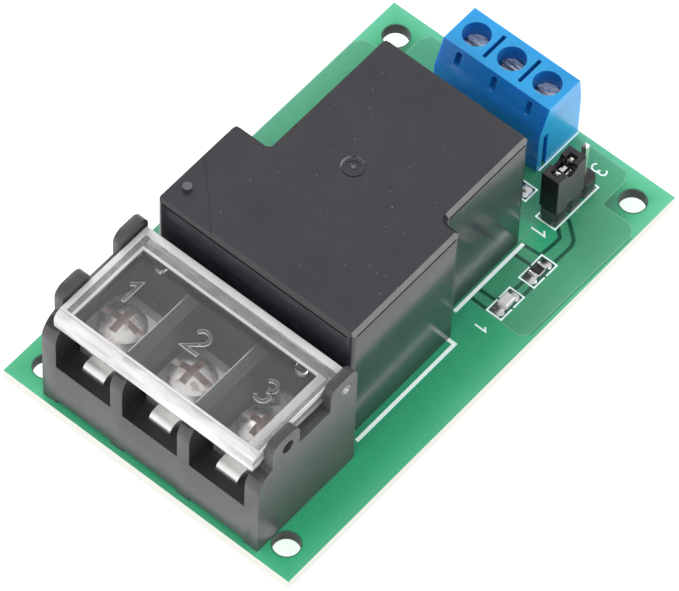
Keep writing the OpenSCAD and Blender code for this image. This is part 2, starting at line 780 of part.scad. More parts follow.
module barrier_body() {
    back_z = wall_z - bar_back_drop;
    color([0.17, 0.17, 0.18]) difference() {
        union() {
            // Floor with its sill, and the rear wall
            along_x(bar_x0, bar_x1) polygon([
                [bar_y0, foot_z], [bar_y1, foot_z], [bar_y1, back_z],
                [bar_y1 - bar_back, back_z], [bar_y1 - bar_back, floor_z], [bar_y0, floor_z]]);
            // End walls and their ears
            along_x(bar_x0, bar_x0 + bar_end) wall_outline(board_t);
            along_x(bar_x1 - bar_end, bar_x1) wall_outline(board_t);
            along_x(bar_x0, bar_x0 + ear_t) ears();
            along_x(bar_x1 - ear_t, bar_x1) ears();
            // Dividers
            for (i = [1, 2]) {
                x = bay_x(i) + bar_pitch / 2;
                along_x(x - bar_wall / 2, x + bar_wall / 2) wall_outline(board_t);
            }
        }
        // Room for the rear lip of the cover as it opens
        along_x(cover_x0 - cover_gap, cover_x1 + cover_gap) translate([hinge_y, hinge_z])
            circle(lip_sweep + slide);
        for (i = POLES) {
            translate([bay_x(i), clamp_y, well_z]) cylinder(h = floor_z, r = well_r);
            block([bay_x(i) - plate_w / 4 - push, plate_y1 - plate_t - push, 0],
                  [bay_x(i) + plate_w / 4 + push, plate_y1 + push, floor_z + 1]);
        }
    }
}

module barrier_terminal(i) {
    color("gainsboro") translate([bay_x(i), 0, 0]) difference() {
        union() {
            block([-plate_w / 2, bar_y0 + plate_front, floor_z],
                  [plate_w / 2, plate_y1, floor_z + plate_t]);
            // Wire tongue with a round nose
            along_x(-tongue_w / 2, tongue_w / 2) intersection() {
                translate([bar_y0 + tongue_front + plate_t, floor_z]) {
                    circle(plate_t);
                    translate([0, -plate_t]) square([plate_front - tongue_front, 2 * plate_t]);
                }
                translate([bar_y0, floor_z]) square([bar_d, plate_t]);
            }
            // Leg down through the strip, and its tail
            block([-plate_w / 4, plate_y1 - plate_t, foot_z], [plate_w / 4, plate_y1, floor_z + eps]);
            translate([-bay_x(i), 0, 0]) tail(tails[i - 1], foot_z + eps);
        }
        translate([0, clamp_y, floor_z - 1]) cylinder(h = plate_t + 2, r = clamp_r + fit);
    }
}

module clamp_washer(i) {
    color("silver") translate([bay_x(i), clamp_y, washer_z]) linear_extrude(washer_t) difference() {
        rounded([-washer_w / 2, -washer_d / 2], [washer_w / 2, washer_d / 2], 1);
        circle(clamp_r + fit);
    }
}

module clamp_screw(i) {
    dome_r = 2 * head_r;
    color("silver") translate([bay_x(i), clamp_y, head_z]) {
        difference() {
            intersection() {
                cylinder(h = head_h, r = head_r);
                translate([0, 0, head_h - dome_r]) sphere(dome_r);
            }
            // Straight slot with a cross recess
            translate([0, 0, head_h]) {
                cube([3 * head_r, slot_w, 2 * slot_depth], center = true);
                for (a = [0, 90]) rotate(a) cube([cross_l, slot_w, 2 * cross_depth], center = true);
            }
        }
        translate([0, 0, -clamp_l]) cylinder(h = clamp_l + eps, r = clamp_r);
    }
}

// Section of the clear cover, front to rear
module cover_section() {
    translate([cover_y0 + cover_round, cover_z1 - cover_t])
        square([cover_y1 - cover_y0 - cover_round, cover_t]);
    translate([cover_y0, flange_z]) square([cover_wall, cover_drop - cover_round]);
    intersection() {
        translate([cover_y0 + cover_round, cover_z1 - cover_round]) circle(cover_round);
        translate([cover_y0, cover_z1 - cover_round]) square(cover_round);
    }
    translate([hinge_y, hinge_z]) circle(rod_r);
}

module barrier_cover() {
    color([0.85, 0.9, 0.92, 0.4]) {
        along_x(cover_x0, cover_x1) cover_section();
        // Side flanges
        for (x = [cover_x0, cover_x1 - cover_wall]) along_x(x, x + cover_wall)
            translate([cover_y0 + cover_round, side_z])
                square([hinge_y - cover_y0 - cover_round, cover_z1 - side_z - eps]);
        // Hinge pins in the rear ears
        along_x(bar_x0, bar_x1) translate([hinge_y, hinge_z]) circle(hinge_r);
        // Stop studs under the top
        for (x = [cover_x0 + stud_x, cover_x1 - stud_x])
            translate([x, hinge_y - stud_d / 2, side_z])
                cylinder(h = cover_z1 - side_z - eps, d = stud_d);
    }
}

// Section of the input block, relay side to wire side
module input_section() {
    polygon([[input_y0, board_t], [input_y1, board_t], [input_y1, board_t + input_shoulder],
             [input_y1 - input_lean, input_z1], [input_y0 + input_slope, input_z1],
             [input_y0 + input_draft, board_t + input_shoulder]]);
}

module input_housing() {
    color("dodgerblue") difference() {
        along_x(input_x0, input_x1) input_section();
        for (i = POLES) translate([pole_x(i), 0, 0]) {
            // Screw bore, the hole in its ledge, and the cage's chamber
            translate([0, input_bore_y, input_head_z]) cylinder(h = input_h, r = bore_r);
            translate([0, input_bore_y, cavity_z1 - 1]) cylinder(h = 3, r = input_screw_r + fit);
            block([-cavity_w / 2, cavity_y0, board_t - 1], [cavity_w / 2, cavity_y1, cavity_z1]);
            // Wire entry
            along_y(cavity_y1 - 1, input_y1 + 1)
                rounded([-entry_w / 2, entry_z], [entry_w / 2, entry_z + entry_h], entry_round);
            // Sight slot on the relay side
            along_y(input_y0, input_bore_y - bore_r / 2)
                rounded([-sight_w / 2, sight_z - sight_h], [sight_w / 2, sight_z], sight_w / 2 - eps);
        }
        // Grooves between the poles
        for (i = [1, 2])
            translate([pole_x(i) + input_pitch / 2, input_bore_y, input_z1]) 
                cube([groove_w, groove_l, 2 * groove_depth], center = true);
        // Keyway in the right end
        block([input_x1 - key_depth, cavity_y0, board_t - 1],
              [input_x1 + 1, cavity_y0 + key_w, board_t + input_shoulder - key_w]);
    }
}

module input_contact(i) {
    color("gainsboro") {
        along_x(pole_x(i) - bar_w / 2, pole_x(i) + bar_w / 2) polygon([
            [cavity_y0, board_t], [cavity_y0 + bar_t, board_t], [cavity_y0 + bar_t, bar_z],
            [cavity_y1 - slide, bar_z], [cavity_y1 - slide, bar_z + bar_t], [cavity_y0, bar_z + bar_t]]);
        tail(tails[i + 2], board_t + eps);
    }
}

module input_cage(i) {
    color("silver") translate([pole_x(i), 0, 0]) difference() {
        along_y(cage_y0, cage_y1) difference() {
            translate([-cage_w / 2, cage_floor_z]) square([cage_w, cage_h]);
            translate([cage_side - cage_w / 2, cage_floor_z + cage_floor])
                square([cage_w - 2 * cage_side, cage_h - cage_floor - cage_top]);
        }
        translate([0, input_bore_y, cage_floor_z + cage_h - cage_top - 0.5])
            cylinder(h = cage_top + 1, r = input_screw_r + fit);
    }
}

module input_screw(i) {
    color("silver") translate([pole_x(i), input_bore_y, 0]) {
        difference() {
            translate([0, 0, input_head_z + push]) cylinder(h = input_head_h, r = input_head_r);
            translate([0, 0, input_head_z + push + input_head_h])
                cube([3 * input_head_r, input_slot_w, 2 * input_slot_depth], center = true);
        }
        translate([0, 0, bar_z + bar_t + push])
            cylinder(h = input_head_z - bar_z - bar_t + eps, r = input_screw_r);
    }
}

module header_strip() {
    half = header_pitch / 2;
    cut = header_cut;
    color([0.13, 0.13, 0.14]) translate([0, 0, board_t]) linear_extrude(header_h) difference() {
        for (i = POLES) translate([header_x, pin_y(i)]) polygon([
            [-half, cut - half], [cut - half, -half], [half - cut, -half], [half, cut - half],
            [half, half - cut], [half - cut, half], [cut - half, half], [-half, half - cut]]);
        for (i = POLES) translate([header_x, pin_y(i)]) square(pin_w + 2 * push, center = true);
    }
}

module header_pins() {
    tip = pin_w / 3;
    color("khaki") for (i = POLES) translate([header_x, pin_y(i), 0]) intersection() {
        along_x(-pin_w, pin_w) beveled([-pin_w / 2, -tail_drop], [pin_w / 2, pin_z1], tip);
        along_y(-pin_w, pin_w) beveled([-pin_w / 2, -tail_drop], [pin_w / 2, pin_z1], tip);
    }
}

module jumper_shell() {
    room_x = jumper_w / 2 - jumper_wall;
    room_y = jumper_l / 2 - jumper_wall;
    window = pin_w / 2 + 0.25;
    color([0.15, 0.15, 0.16]) translate([header_x, jumper_y, 0]) difference() {
        translate([0, 0, jumper_z0]) linear_extrude(jumper_h)
            rounded([-jumper_w / 2, -jumper_l / 2], [jumper_w / 2, jumper_l / 2], 0.2);
        block([-room_x, -room_y, jumper_z0 - 1], [room_x, room_y, jumper_z1 - jumper_top]);
        // Windows over the pins, and the test notch between them
        for (y = [-header_pitch / 2, header_pitch / 2])
            block([-window, y - window, jumper_z0], [window, y + window, jumper_z1 + 1]);
        along_x(-jumper_w, jumper_w) translate([0, jumper_z1]) circle(notch_r);
    }
}

module jumper_clip() {
    low = jumper_z0 + 2 * clip_t;
    high = jumper_z1 - jumper_top - push;
    reach = jumper_l / 2 - jumper_wall - push;
    side_top = high - 2 * clip_t;
    end = header_pitch / 4;
    color("khaki") translate([header_x, jumper_y, 0]) {
        for (x = [-clip_x - clip_t, clip_x]) block([x, -reach, low], [x + clip_t, reach, side_top]);
        // Bridge along the middle, joined to both sides at its ends
        block([-clip_bridge / 2, -end, high - clip_t], [clip_bridge / 2, end, high]);
        for (y = [-end, end - clip_t])
            block([-clip_x - eps, y, side_top - clip_t], [clip_x + eps, y + clip_t, high]);
    }
}

// A chip part along Y, at a height above the board
module chip(x, y, l, w, h) {
    along_x(x - w / 2, x + w / 2) translate([y - l / 2, board_t]) square([l, h]);
}

module lamp_base() {
    color("gold") chip(lamp_x, lamp_mid, chip_l, chip_w, lamp_h);
}

module lamp_lens() {
    lens_l = chip_l - chip_end;
    color("white") translate([0, 0, board_t + lamp_h]) intersection() {
        along_x(lamp_x - chip_w / 2, lamp_x + chip_w / 2)
            beveled([lamp_mid + chip_l / 2 - lens_l, 0], [lamp_mid + chip_l / 2, lens_h], lens_bevel);
        along_y(lamp_mid - chip_l, lamp_mid + chip_l)
            beveled([lamp_x - chip_w / 2, 0], [lamp_x + chip_w / 2, lens_h], lens_bevel);
    }
}

module lamp_resistor() {
    color("black") chip(lamp_x, lamp_mid + lamp_dy, chip_l, chip_w, chip_h);
}

module base_resistor() {
    color("black") along_x(base_resistor_x - chip_l / 2, base_resistor_x + chip_l / 2)
        translate([lane_y - chip_w / 2, board_t]) square([chip_w, chip_h]);
}

module driver_transistor() {
    half = transistor_l / 2;
    color([0.15, 0.15, 0.16]) {
        along_x(transistor_x - half, transistor_x + half)
            translate([lane_y, board_t]) polygon(transistor_section);
        for (p = transistor_leads) along_x(transistor_x + p[0] - lead_w / 2, transistor_x + p[0] + lead_w / 2)
            translate([lane_y, board_t]) polygon([for (q = lead_section) [p[1] * q[0], q[1]]]);
    }
}

module clamp_diode() {
    color([0.15, 0.15, 0.16]) {
        along_x(diode_x - diode_l / 2, diode_x + diode_l / 2)
            beveled([lane_y - diode_w / 2, board_t + tab_t],
                    [lane_y + diode_w / 2, board_t + diode_h], 2 * tab_t);
        for (s = [-1, 1]) along_y(lane_y - tab_w / 2, lane_y + tab_w / 2)
            translate([diode_x + s * diode_l / 2, board_t]) polygon([for (q = tab_section) [s * q[0], q[1]]]);
    }
}

circuit_board();
solder_joints();
relay_cover();
relay_base();
coil_bobbin();
coil_winding();
coil_core();
relay_yoke();
relay_armature();
contact_blade();
moving_contact();
make_terminal();
make_contact();
break_terminal();
break_contact();
common_terminal();
coil_pins();
barrier_body();
barrier_cover();
barrier_terminal(1);  // barrier_terminal_1
barrier_terminal(2);  // barrier_terminal_2
barrier_terminal(3);  // barrier_terminal_3
clamp_washer(1);  // clamp_washer_1
clamp_washer(2);  // clamp_washer_2
clamp_washer(3);  // clamp_washer_3
clamp_screw(1);  // clamp_screw_1
clamp_screw(2);  // clamp_screw_2
clamp_screw(3);  // clamp_screw_3
input_housing();
input_contact(1);  // input_contact_1
input_contact(2);  // input_contact_2
input_contact(3);  // input_contact_3
input_cage(1);  // input_cage_1
input_cage(2);  // input_cage_2
input_cage(3);  // input_cage_3
input_screw(1);  // input_screw_1
input_screw(2);  // input_screw_2
input_screw(3);  // input_screw_3
header_strip();
header_pins();
jumper_shell();
jumper_clip();
lamp_base();
lamp_lens();
lamp_resistor();
base_resistor();
driver_transistor();
clamp_diode();
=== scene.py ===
"""Looks of a power relay board: finishes, board print, small fittings, light and camera."""
import json
import math

import bmesh
import bpy
from mathutils import Matrix, Vector

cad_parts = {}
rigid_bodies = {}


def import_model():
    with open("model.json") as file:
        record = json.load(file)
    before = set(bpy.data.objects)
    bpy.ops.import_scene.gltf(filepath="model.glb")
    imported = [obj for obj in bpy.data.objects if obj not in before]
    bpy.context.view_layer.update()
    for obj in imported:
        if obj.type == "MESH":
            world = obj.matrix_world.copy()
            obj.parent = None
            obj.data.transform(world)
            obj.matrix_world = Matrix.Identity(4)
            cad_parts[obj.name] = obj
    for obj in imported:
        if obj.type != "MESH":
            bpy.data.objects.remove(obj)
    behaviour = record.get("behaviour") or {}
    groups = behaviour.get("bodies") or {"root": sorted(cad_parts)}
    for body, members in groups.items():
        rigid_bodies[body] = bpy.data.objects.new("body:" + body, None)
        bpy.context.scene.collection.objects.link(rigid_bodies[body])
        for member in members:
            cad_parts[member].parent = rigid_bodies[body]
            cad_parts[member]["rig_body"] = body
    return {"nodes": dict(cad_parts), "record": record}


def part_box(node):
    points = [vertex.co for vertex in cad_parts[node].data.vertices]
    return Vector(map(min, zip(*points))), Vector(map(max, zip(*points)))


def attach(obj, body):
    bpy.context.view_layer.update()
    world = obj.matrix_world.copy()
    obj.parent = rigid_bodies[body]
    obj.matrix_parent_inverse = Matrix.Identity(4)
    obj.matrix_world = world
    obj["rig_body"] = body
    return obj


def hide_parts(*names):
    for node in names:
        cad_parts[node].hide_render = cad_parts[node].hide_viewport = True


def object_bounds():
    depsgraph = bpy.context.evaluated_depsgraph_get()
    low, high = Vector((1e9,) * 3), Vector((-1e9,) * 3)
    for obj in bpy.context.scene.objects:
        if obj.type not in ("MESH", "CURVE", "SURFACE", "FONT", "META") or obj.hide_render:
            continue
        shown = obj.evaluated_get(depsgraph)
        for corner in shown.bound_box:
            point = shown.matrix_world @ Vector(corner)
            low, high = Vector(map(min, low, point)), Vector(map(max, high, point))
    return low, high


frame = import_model()
cad_box = [list(corner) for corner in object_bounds()]
NODES = frame["nodes"]
MM = 0.001
BOARD_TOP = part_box("circuit_board")[1].z / MM
COPPER = 0.02
INK = 0.03
BLACK, WHITE = (0, 0, 0, 1), (1, 1, 1, 1)
NOISE_LOW, NOISE_HIGH = 0.3, 0.7
SPECK_EDGE = 0.03
WAVE_RATE = 10


def tone(red, green, blue):
    """A colour given as it shows on screen, 0 to 255, in linear values."""
    def linear(value):
        share = value / 255
        return share / 12.92 if share <= 0.04045 else ((share + 0.055) / 1.055) ** 2.4
    return (linear(red), linear(green), linear(blue), 1.0)


# Finishes

class Finish:
    """A procedural material. Sizes of its patterns are in millimetres."""

    def __init__(self, name, **sockets):
        self.material = bpy.data.materials.new(name)
        self.material.use_nodes = True
        self.nodes = self.material.node_tree.nodes
        self.links = self.material.node_tree.links
        self.shader = self.nodes["Principled BSDF"]
        for socket, value in sockets.items():
            self.shader.inputs[socket.replace("_", " ")].default_value = value
        self.place = self.nodes.new("ShaderNodeTexCoord").outputs["Object"]

    def noise(self, size, detail=3.0, stretch=(1, 1, 1)):
        """Cloudy noise with lumps of about this size, drawn out by stretch."""
        node = self.nodes.new("ShaderNodeTexNoise")
        node.inputs["Scale"].default_value = 1
        node.inputs["Detail"].default_value = detail
        scaled = self.nodes.new("ShaderNodeMapping")
        scaled.inputs["Scale"].default_value = [1 / (size * MM * along) for along in stretch]
        self.links.new(self.place, scaled.inputs["Vector"])
        self.links.new(scaled.outputs["Vector"], node.inputs["Vector"])
        return node.outputs["Fac"]

    def bands(self, size, direction, wobble=0.0):
        """Even bands of this width across one axis. The wave node turns by twice its rate in a unit."""
        node = self.nodes.new("ShaderNodeTexWave")
        node.bands_direction = direction
        node.inputs["Scale"].default_value = math.pi / (WAVE_RATE * size * MM)
        node.inputs["Distortion"].default_value = wobble
        self.links.new(self.place, node.inputs["Vector"])
        return node.outputs["Fac"]

    def ramp(self, source, *stops):
        """Maps a pattern to colours: each stop is a place from 0 to 1 and a colour."""
        node = self.nodes.new("ShaderNodeValToRGB")
        elements = node.color_ramp.elements
        while len(elements) < len(stops):
            elements.new(0.5)
        for element, (at, colour) in zip(elements, stops):
            element.position = at
            element.color = colour
        self.links.new(source, node.inputs["Fac"])
        return node.outputs["Color"]

    def span(self, source, low, high):
        """Maps a pattern's middle range to values from low to high."""
        node = self.nodes.new("ShaderNodeMapRange")
        node.inputs["From Min"].default_value = NOISE_LOW
        node.inputs["From Max"].default_value = NOISE_HIGH
        node.inputs["To Min"].default_value = low
        node.inputs["To Max"].default_value = high
        self.links.new(source, node.inputs["Value"])
        return node.outputs["Result"]

    def specks(self, under, size, share, colour):
        """Scatters small specks of a colour over another colour."""
        mask = self.ramp(self.noise(size, 1.0), (share, BLACK), (share + SPECK_EDGE, WHITE))
        node = self.nodes.new("ShaderNodeMix")
        node.data_type = "RGBA"
        self.links.new(mask, node.inputs["Factor"])
        self.links.new(under, node.inputs[6])
        node.inputs[7].default_value = colour
        return node.outputs[2]

    def times(self, first, second):
        """Multiplies two colours."""
        node = self.nodes.new("ShaderNodeMix")
        node.data_type = "RGBA"
        node.blend_type = "MULTIPLY"
        node.inputs["Factor"].default_value = 1.0
        self.links.new(first, node.inputs[6])
        self.links.new(second, node.inputs[7])
        return node.outputs[2]

    def math(self, operation, first, second=None):
        """One step of arithmetic on patterns or numbers."""
        node = self.nodes.new("ShaderNodeMath")
        node.operation = operation
        for socket, value in zip(node.inputs, (first, second)):
            if isinstance(value, bpy.types.NodeSocket):
                self.links.new(value, socket)
            elif value is not None:
                socket.default_value = value
        return node.outputs[0]

    def inset(self, half_x, half_y, reach):
        """Distance from the rim of a rectangle about the origin, as a share of a reach."""
        split = self.nodes.new("ShaderNodeSeparateXYZ")
        self.links.new(self.place, split.inputs["Vector"])
        from_x = self.math("SUBTRACT", half_x * MM, self.math("ABSOLUTE", split.outputs["X"]))
        from_y = self.math("SUBTRACT", half_y * MM, self.math("ABSOLUTE", split.outputs["Y"]))
        return self.math("DIVIDE", self.math("MINIMUM", from_x, from_y), reach * MM)

    def blend(self, first, second, axis, start, stop):
        """Goes over from one colour to another along an axis, between two places."""
        split = self.nodes.new("ShaderNodeSeparateXYZ")
        self.links.new(self.place, split.inputs["Vector"])
        share = self.nodes.new("ShaderNodeMapRange")
        share.inputs["From Min"].default_value = start * MM
        share.inputs["From Max"].default_value = stop * MM
        self.links.new(split.outputs[axis], share.inputs["Value"])
        node = self.nodes.new("ShaderNodeMix")
        node.data_type = "RGBA"
        self.links.new(share.outputs["Result"], node.inputs["Factor"])
        self.links.new(first, node.inputs[6])
        self.links.new(second, node.inputs[7])
        return node.outputs[2]

    def colour(self, source):
        """Takes the base colour from a pattern."""
        self.links.new(source, self.shader.inputs["Base Color"])

    def gloss(self, source, low, high):
        """Lets the roughness follow a pattern, from low to high."""
        self.links.new(self.span(source, low, high), self.shader.inputs["Roughness"])

    def relief(self, source, height):
        """Raises the surface by a pattern, up to this height."""
        node = self.nodes.new("ShaderNodeBump")
        node.inputs["Strength"].default_value = 1.0
        node.inputs["Distance"].default_value = height * MM
        self.links.new(source, node.inputs["Height"])
        self.links.new(node.outputs["Normal"], self.shader.inputs["Normal"])


def shade(colour, factor):
    """The same colour, darker or lighter by a factor."""
    return tuple(min(1.0, part * factor) for part in colour[:3]) + (1.0,)


DUST = tone(150, 150, 148)
BOARD_DUST = tone(190, 232, 212)
DUST_SIZE = 0.35
DUST_SHARE = 0.78


def plastic(name, colour, rough, grain=0.004, dust=0.0, **sockets):
    """Moulded plastic: cloudy colour, uneven gloss, fine grain and a little dust."""
    finish = Finish(name, **sockets)
    cloud = finish.noise(6, 4)
    base = finish.ramp(cloud, (NOISE_LOW, shade(colour, 0.9)), (NOISE_HIGH, shade(colour, 1.12)))
    if dust:
        base = finish.specks(base, DUST_SIZE, DUST_SHARE - dust, DUST)
    finish.colour(base)
    finish.gloss(finish.noise(1.5, 5), rough * 0.82, rough * 1.2)
    finish.relief(finish.noise(0.22, 2), grain)
    return finish


def metal(name, colour, rough, scratch=(1, 1, 1), grain=0.0008):
    """Metal: clouded tint, streaked gloss and fine tool marks."""
    finish = Finish(name, Metallic=1.0)
    cloud = finish.noise(1.4, 5)
    finish.colour(finish.ramp(cloud, (NOISE_LOW, shade(colour, 0.88)), (NOISE_HIGH, shade(colour, 1.08))))
    streaks = finish.noise(0.18, 4, scratch)
    finish.gloss(streaks, rough * 0.8, rough * 1.25)
    finish.relief(streaks, grain)
    return finish


BOARD_HALF = [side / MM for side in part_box("circuit_board")[1][:2]]
RIM_REACH = 6.0
REAR_BLEND = (24.0, 26.5)
WEAVE_W = 0.45
WEAVE_WOBBLE = 0.6
WEAVE_RELIEF = 0.001
BOARD_DUST_SIZE = 0.3


def board_mask(name, stops, rough, rear=None):
    """Solder mask: glossy green, painted lighter towards the rim for light coming in through the board's
    edge, with the weave faintly under it.
    """
    finish = Finish(name, Coat_Weight=0.25, Coat_Roughness=0.12)
    inset = finish.inset(*BOARD_HALF, RIM_REACH)
    base = finish.ramp(inset, *stops)
    if rear:
        base = finish.blend(base, finish.ramp(inset, *rear), "Y", *REAR_BLEND)
    cloud = finish.ramp(finish.noise(7, 5), (NOISE_LOW, (0.9, 0.9, 0.9, 1)), (NOISE_HIGH, WHITE))
    finish.colour(finish.specks(finish.times(base, cloud), BOARD_DUST_SIZE, DUST_SHARE, BOARD_DUST))
    finish.gloss(finish.noise(0.8, 4), rough * 0.8, rough * 1.25)
    across = finish.bands(WEAVE_W, "X", WEAVE_WOBBLE)
    along = finish.bands(WEAVE_W, "Y", WEAVE_WOBBLE)
    finish.relief(finish.math("MAXIMUM", across, along), WEAVE_RELIEF)
    return finish


RESIN_IOR = 1.49


def hazy(name, through, pattern, dull, gloss, spread=0.15):
    """Clear resin with a haze: how much light it lets through, the haze's noise and tone, and the gloss."""
    finish = Finish(name, IOR=RESIN_IOR, Transmission_Weight=through)
    finish.colour(finish.ramp(finish.noise(*pattern), (0.5 - spread, dull), (0.5 + spread, WHITE)))
    finish.gloss(finish.noise(2, 3), *gloss)
    return finish


def streaked(name, pattern, dull, bright, through, gloss):
    """Clear resin with streaks that let more or less light through. Dull and bright are stops of a ramp."""
    finish = Finish(name, IOR=RESIN_IOR)
    flow = finish.noise(*pattern)
    finish.colour(finish.ramp(flow, dull, bright))
    finish.links.new(finish.span(flow, *through), finish.shader.inputs["Transmission Weight"])
    finish.gloss(flow, *gloss)
    return finish


# Mask tones by distance in from the board's rim. Their lighter tones at the rim are painted light, for light
# coming in through the board's edge; the rear ramp also goes darker further in.
BARE = [(0.0, (0.105, 0.66, 0.345, 1)), (0.25, (0.06, 0.585, 0.275, 1)), (0.5, (0.042, 0.53, 0.235, 1)),
        (0.95, (0.044, 0.5, 0.245, 1))]
REAR_BARE = [(0.0, (0.15, 0.69, 0.41, 1)), (0.25, (0.09, 0.6, 0.31, 1)), (0.5, (0.036, 0.41, 0.18, 1)),
             (0.85, (0.03, 0.24, 0.13, 1))]
UNDER_TONES = [(0.0, (0.06, 0.48, 0.26, 1)), (0.4, (0.034, 0.33, 0.17, 1))]
POUR_TONES = [(0.0, (0.11, 0.5, 0.29, 1)), (0.4, (0.07, 0.44, 0.23, 1)), (1.0, (0.066, 0.42, 0.22, 1))]
# Gap tones: the dark of the gaps in the copper, partly their own tone and partly painted shade, also used
# for painted shadow inside printed boxes.
GAP_SHADE_TONES = [(0.0, (0.006, 0.16, 0.09, 1)), (1.0, (0.003, 0.11, 0.064, 1))]
# Side tones: painted shadow in a band beside the copper's right side and in the rims round the corner holes.
SIDE_SHADE_TONES = [(0.0, (0.05, 0.4, 0.22, 1)), (0.12, (0.05, 0.36, 0.2, 1)), (0.25, (0.035, 0.16, 0.1, 1))]
RIM_TONES = [(0.0, (0.24, 0.62, 0.44, 1)), (1.0, (0.14, 0.5, 0.31, 1))]

mask = board_mask("mask_on_laminate", BARE, 0.3, REAR_BARE)
under_mask = board_mask("mask_below", UNDER_TONES, 0.3)
pour_mask = board_mask("mask_on_copper", POUR_TONES, 0.32)
gap_shade_mask = board_mask("mask_in_gaps_and_painted_shade", GAP_SHADE_TONES, 0.3)
rim_mask = board_mask("mask_on_copper_rim", RIM_TONES, 0.3)
side_shade_mask = board_mask("mask_beside_copper_painted_shade", SIDE_SHADE_TONES, 0.3)
# White print. Its faint glow is painted light that makes it brighter than the lamps alone would.
ink = plastic("white_ink_painted_glow", (0.92, 1.0, 1.0, 1.0), 0.5, 0.006, Emission_Color=(0.7, 1.0, 0.95, 1.0),
              Emission_Strength=0.28)
tin = metal("tin_plate", (0.78, 0.77, 0.74, 1.0), 0.24, (1, 6, 1))
solder = metal("solder", (0.74, 0.74, 0.75, 1.0), 0.2, (2, 2, 1), 0.012)

laminate = Finish("laminate_edge", Roughness=0.62)
layers = laminate.bands(0.2, "Z", 0.4)
laminate.colour(laminate.ramp(layers, (0.0, (0.66, 0.65, 0.59, 1.0)), (1.0, (0.84, 0.83, 0.78, 1.0))))
laminate.relief(laminate.noise(0.12, 3, (1, 1, 0.5)), 0.015)
# Near black for the walls of the board's holes: painted shade inside them.
hole_wall_shade = plastic("drilled_laminate_painted_shade", (0.02, 0.03, 0.02, 1.0), 0.55, 0.01)

case_black = plastic("case_black", (0.037, 0.0355, 0.045, 1.0), 0.18, 0.003, 0.004)
# Copies of the case plastic for its eased edges: the darker, duller one is painted shade on edges facing
# left and rear, the lighter ones are painted highlights on the right and front.
case_edge_shade = plastic("case_edge_shade", (0.028, 0.027, 0.031, 1.0), 0.55, 0.006, Specular_IOR_Level=0.06)
case_highlight_and_wear = plastic("case_highlight_and_wear", (0.125, 0.122, 0.128, 1.0), 0.3, 0.006)
case_front_lit = plastic("case_front_rim", (0.055, 0.053, 0.057, 1.0), 0.34, 0.006)

MOULD_MARK = (-0.75, 1.8)
MARK_R = 1.45
GLINT_LEFT = [MOULD_MARK[0] - share * MARK_R for share in (0.9, 0.6)]
GLINT_REAR = [MOULD_MARK[1] + share * MARK_R for share in (0.8, 0.9)]
# The mould mark's groove: painted glints, bright on the left and dimmer at the rear, over a dark unlit tone.
case_mark = Finish("case_mark", Roughness=0.35)
scuffs = case_mark.noise(0.4, 3)
unlit_tone = case_mark.ramp(scuffs, (NOISE_LOW, (0.02, 0.02, 0.022, 1)), (NOISE_HIGH, (0.04, 0.04, 0.044, 1)))
glinting = case_mark.ramp(scuffs, (NOISE_LOW, (0.3, 0.29, 0.3, 1)), (NOISE_HIGH, (0.42, 0.41, 0.42, 1)))
dim_glint = case_mark.ramp(scuffs, (NOISE_LOW, (0.13, 0.128, 0.13, 1)), (NOISE_HIGH, (0.22, 0.215, 0.22, 1)))
left_glint = case_mark.blend(glinting, unlit_tone, "X", *GLINT_LEFT)
case_mark.colour(case_mark.blend(left_glint, dim_glint, "Y", *GLINT_REAR))

case_seam = plastic("case_seam", (0.004, 0.004, 0.005, 1.0), 0.6, 0.004, Specular_IOR_Level=0.1)
base_black = plastic("base_black", (0.022, 0.022, 0.024, 1.0), 0.42)
bobbin = plastic("bobbin_resin", (0.62, 0.6, 0.54, 1.0), 0.4)
strip_black = plastic("strip_black", (0.066, 0.062, 0.067, 1.0), 0.33, 0.004, 0.006)
# Bright metallic plastic for painted highlights on the dividers' edges.
strip_edge_highlight = plastic("strip_edge_highlight", (0.75, 0.75, 0.77, 1.0), 0.25, 0.002, Metallic=0.85)
# Darker copy of the strip's plastic for inside the bays: painted shade.
strip_inside_shade = plastic("strip_inside_shade", (0.02, 0.019, 0.022, 1.0), 0.4, 0.004)
TRANSLUCENT = {"Subsurface_Weight": 0.4, "Subsurface_Scale": MM, "Subsurface_Radius": (0.2, 0.6, 1.4)}
block_blue = plastic("block_blue", (0.022, 0.385, 0.82, 1.0), 0.22, 0.003, **TRANSLUCENT)
# Copies of the blue for painted light: darker in the hollows and on the front as shade, lighter on the top
# edges as highlights.
block_inside_shade = plastic("block_inside_shade", (0.012, 0.2, 0.58, 1.0), 0.1, 0.002, **TRANSLUCENT)
block_shaded = plastic("block_shaded", (0.018, 0.25, 0.74, 1.0), 0.26, 0.003, **TRANSLUCENT)
block_edge_highlight = plastic("block_edge_highlight", (0.1, 0.47, 0.93, 1.0), 0.22, 0.003)
header_black = plastic("header_black", (0.032, 0.031, 0.033, 1.0), 0.3, 0.004)
jumper_black = plastic("jumper_black", (0.034, 0.033, 0.037, 1.0), 0.28, 0.003, Specular_IOR_Level=0.35)
# Darker and lighter copies of the jumper's plastic: painted shade in the notch and on the front, painted
# light on the right side.
jumper_notch_shade = plastic("jumper_notch_shade", (0.006, 0.006, 0.007, 1.0), 0.5, 0.003, Specular_IOR_Level=0.2)
jumper_side_lit = plastic("jumper_side_lit", (0.07, 0.071, 0.072, 1.0), 0.4, 0.004, Specular_IOR_Level=0.3)
mould_black = plastic("mould_black", (0.02, 0.02, 0.021, 1.0), 0.45, 0.006)
chip_black = plastic("chip_black", (0.018, 0.018, 0.02, 1.0), 0.3)
ceramic = plastic("chip_ceramic", (0.75, 0.74, 0.7, 1.0), 0.5)
lamp_body = plastic("lamp_body", (0.84, 0.82, 0.8, 1.0), 0.45)
lens = plastic("lamp_lens", (1.0, 0.97, 0.96, 1.0), 0.16, 0.002, Subsurface_Weight=0.15, Subsurface_Scale=MM,
               IOR=1.5)

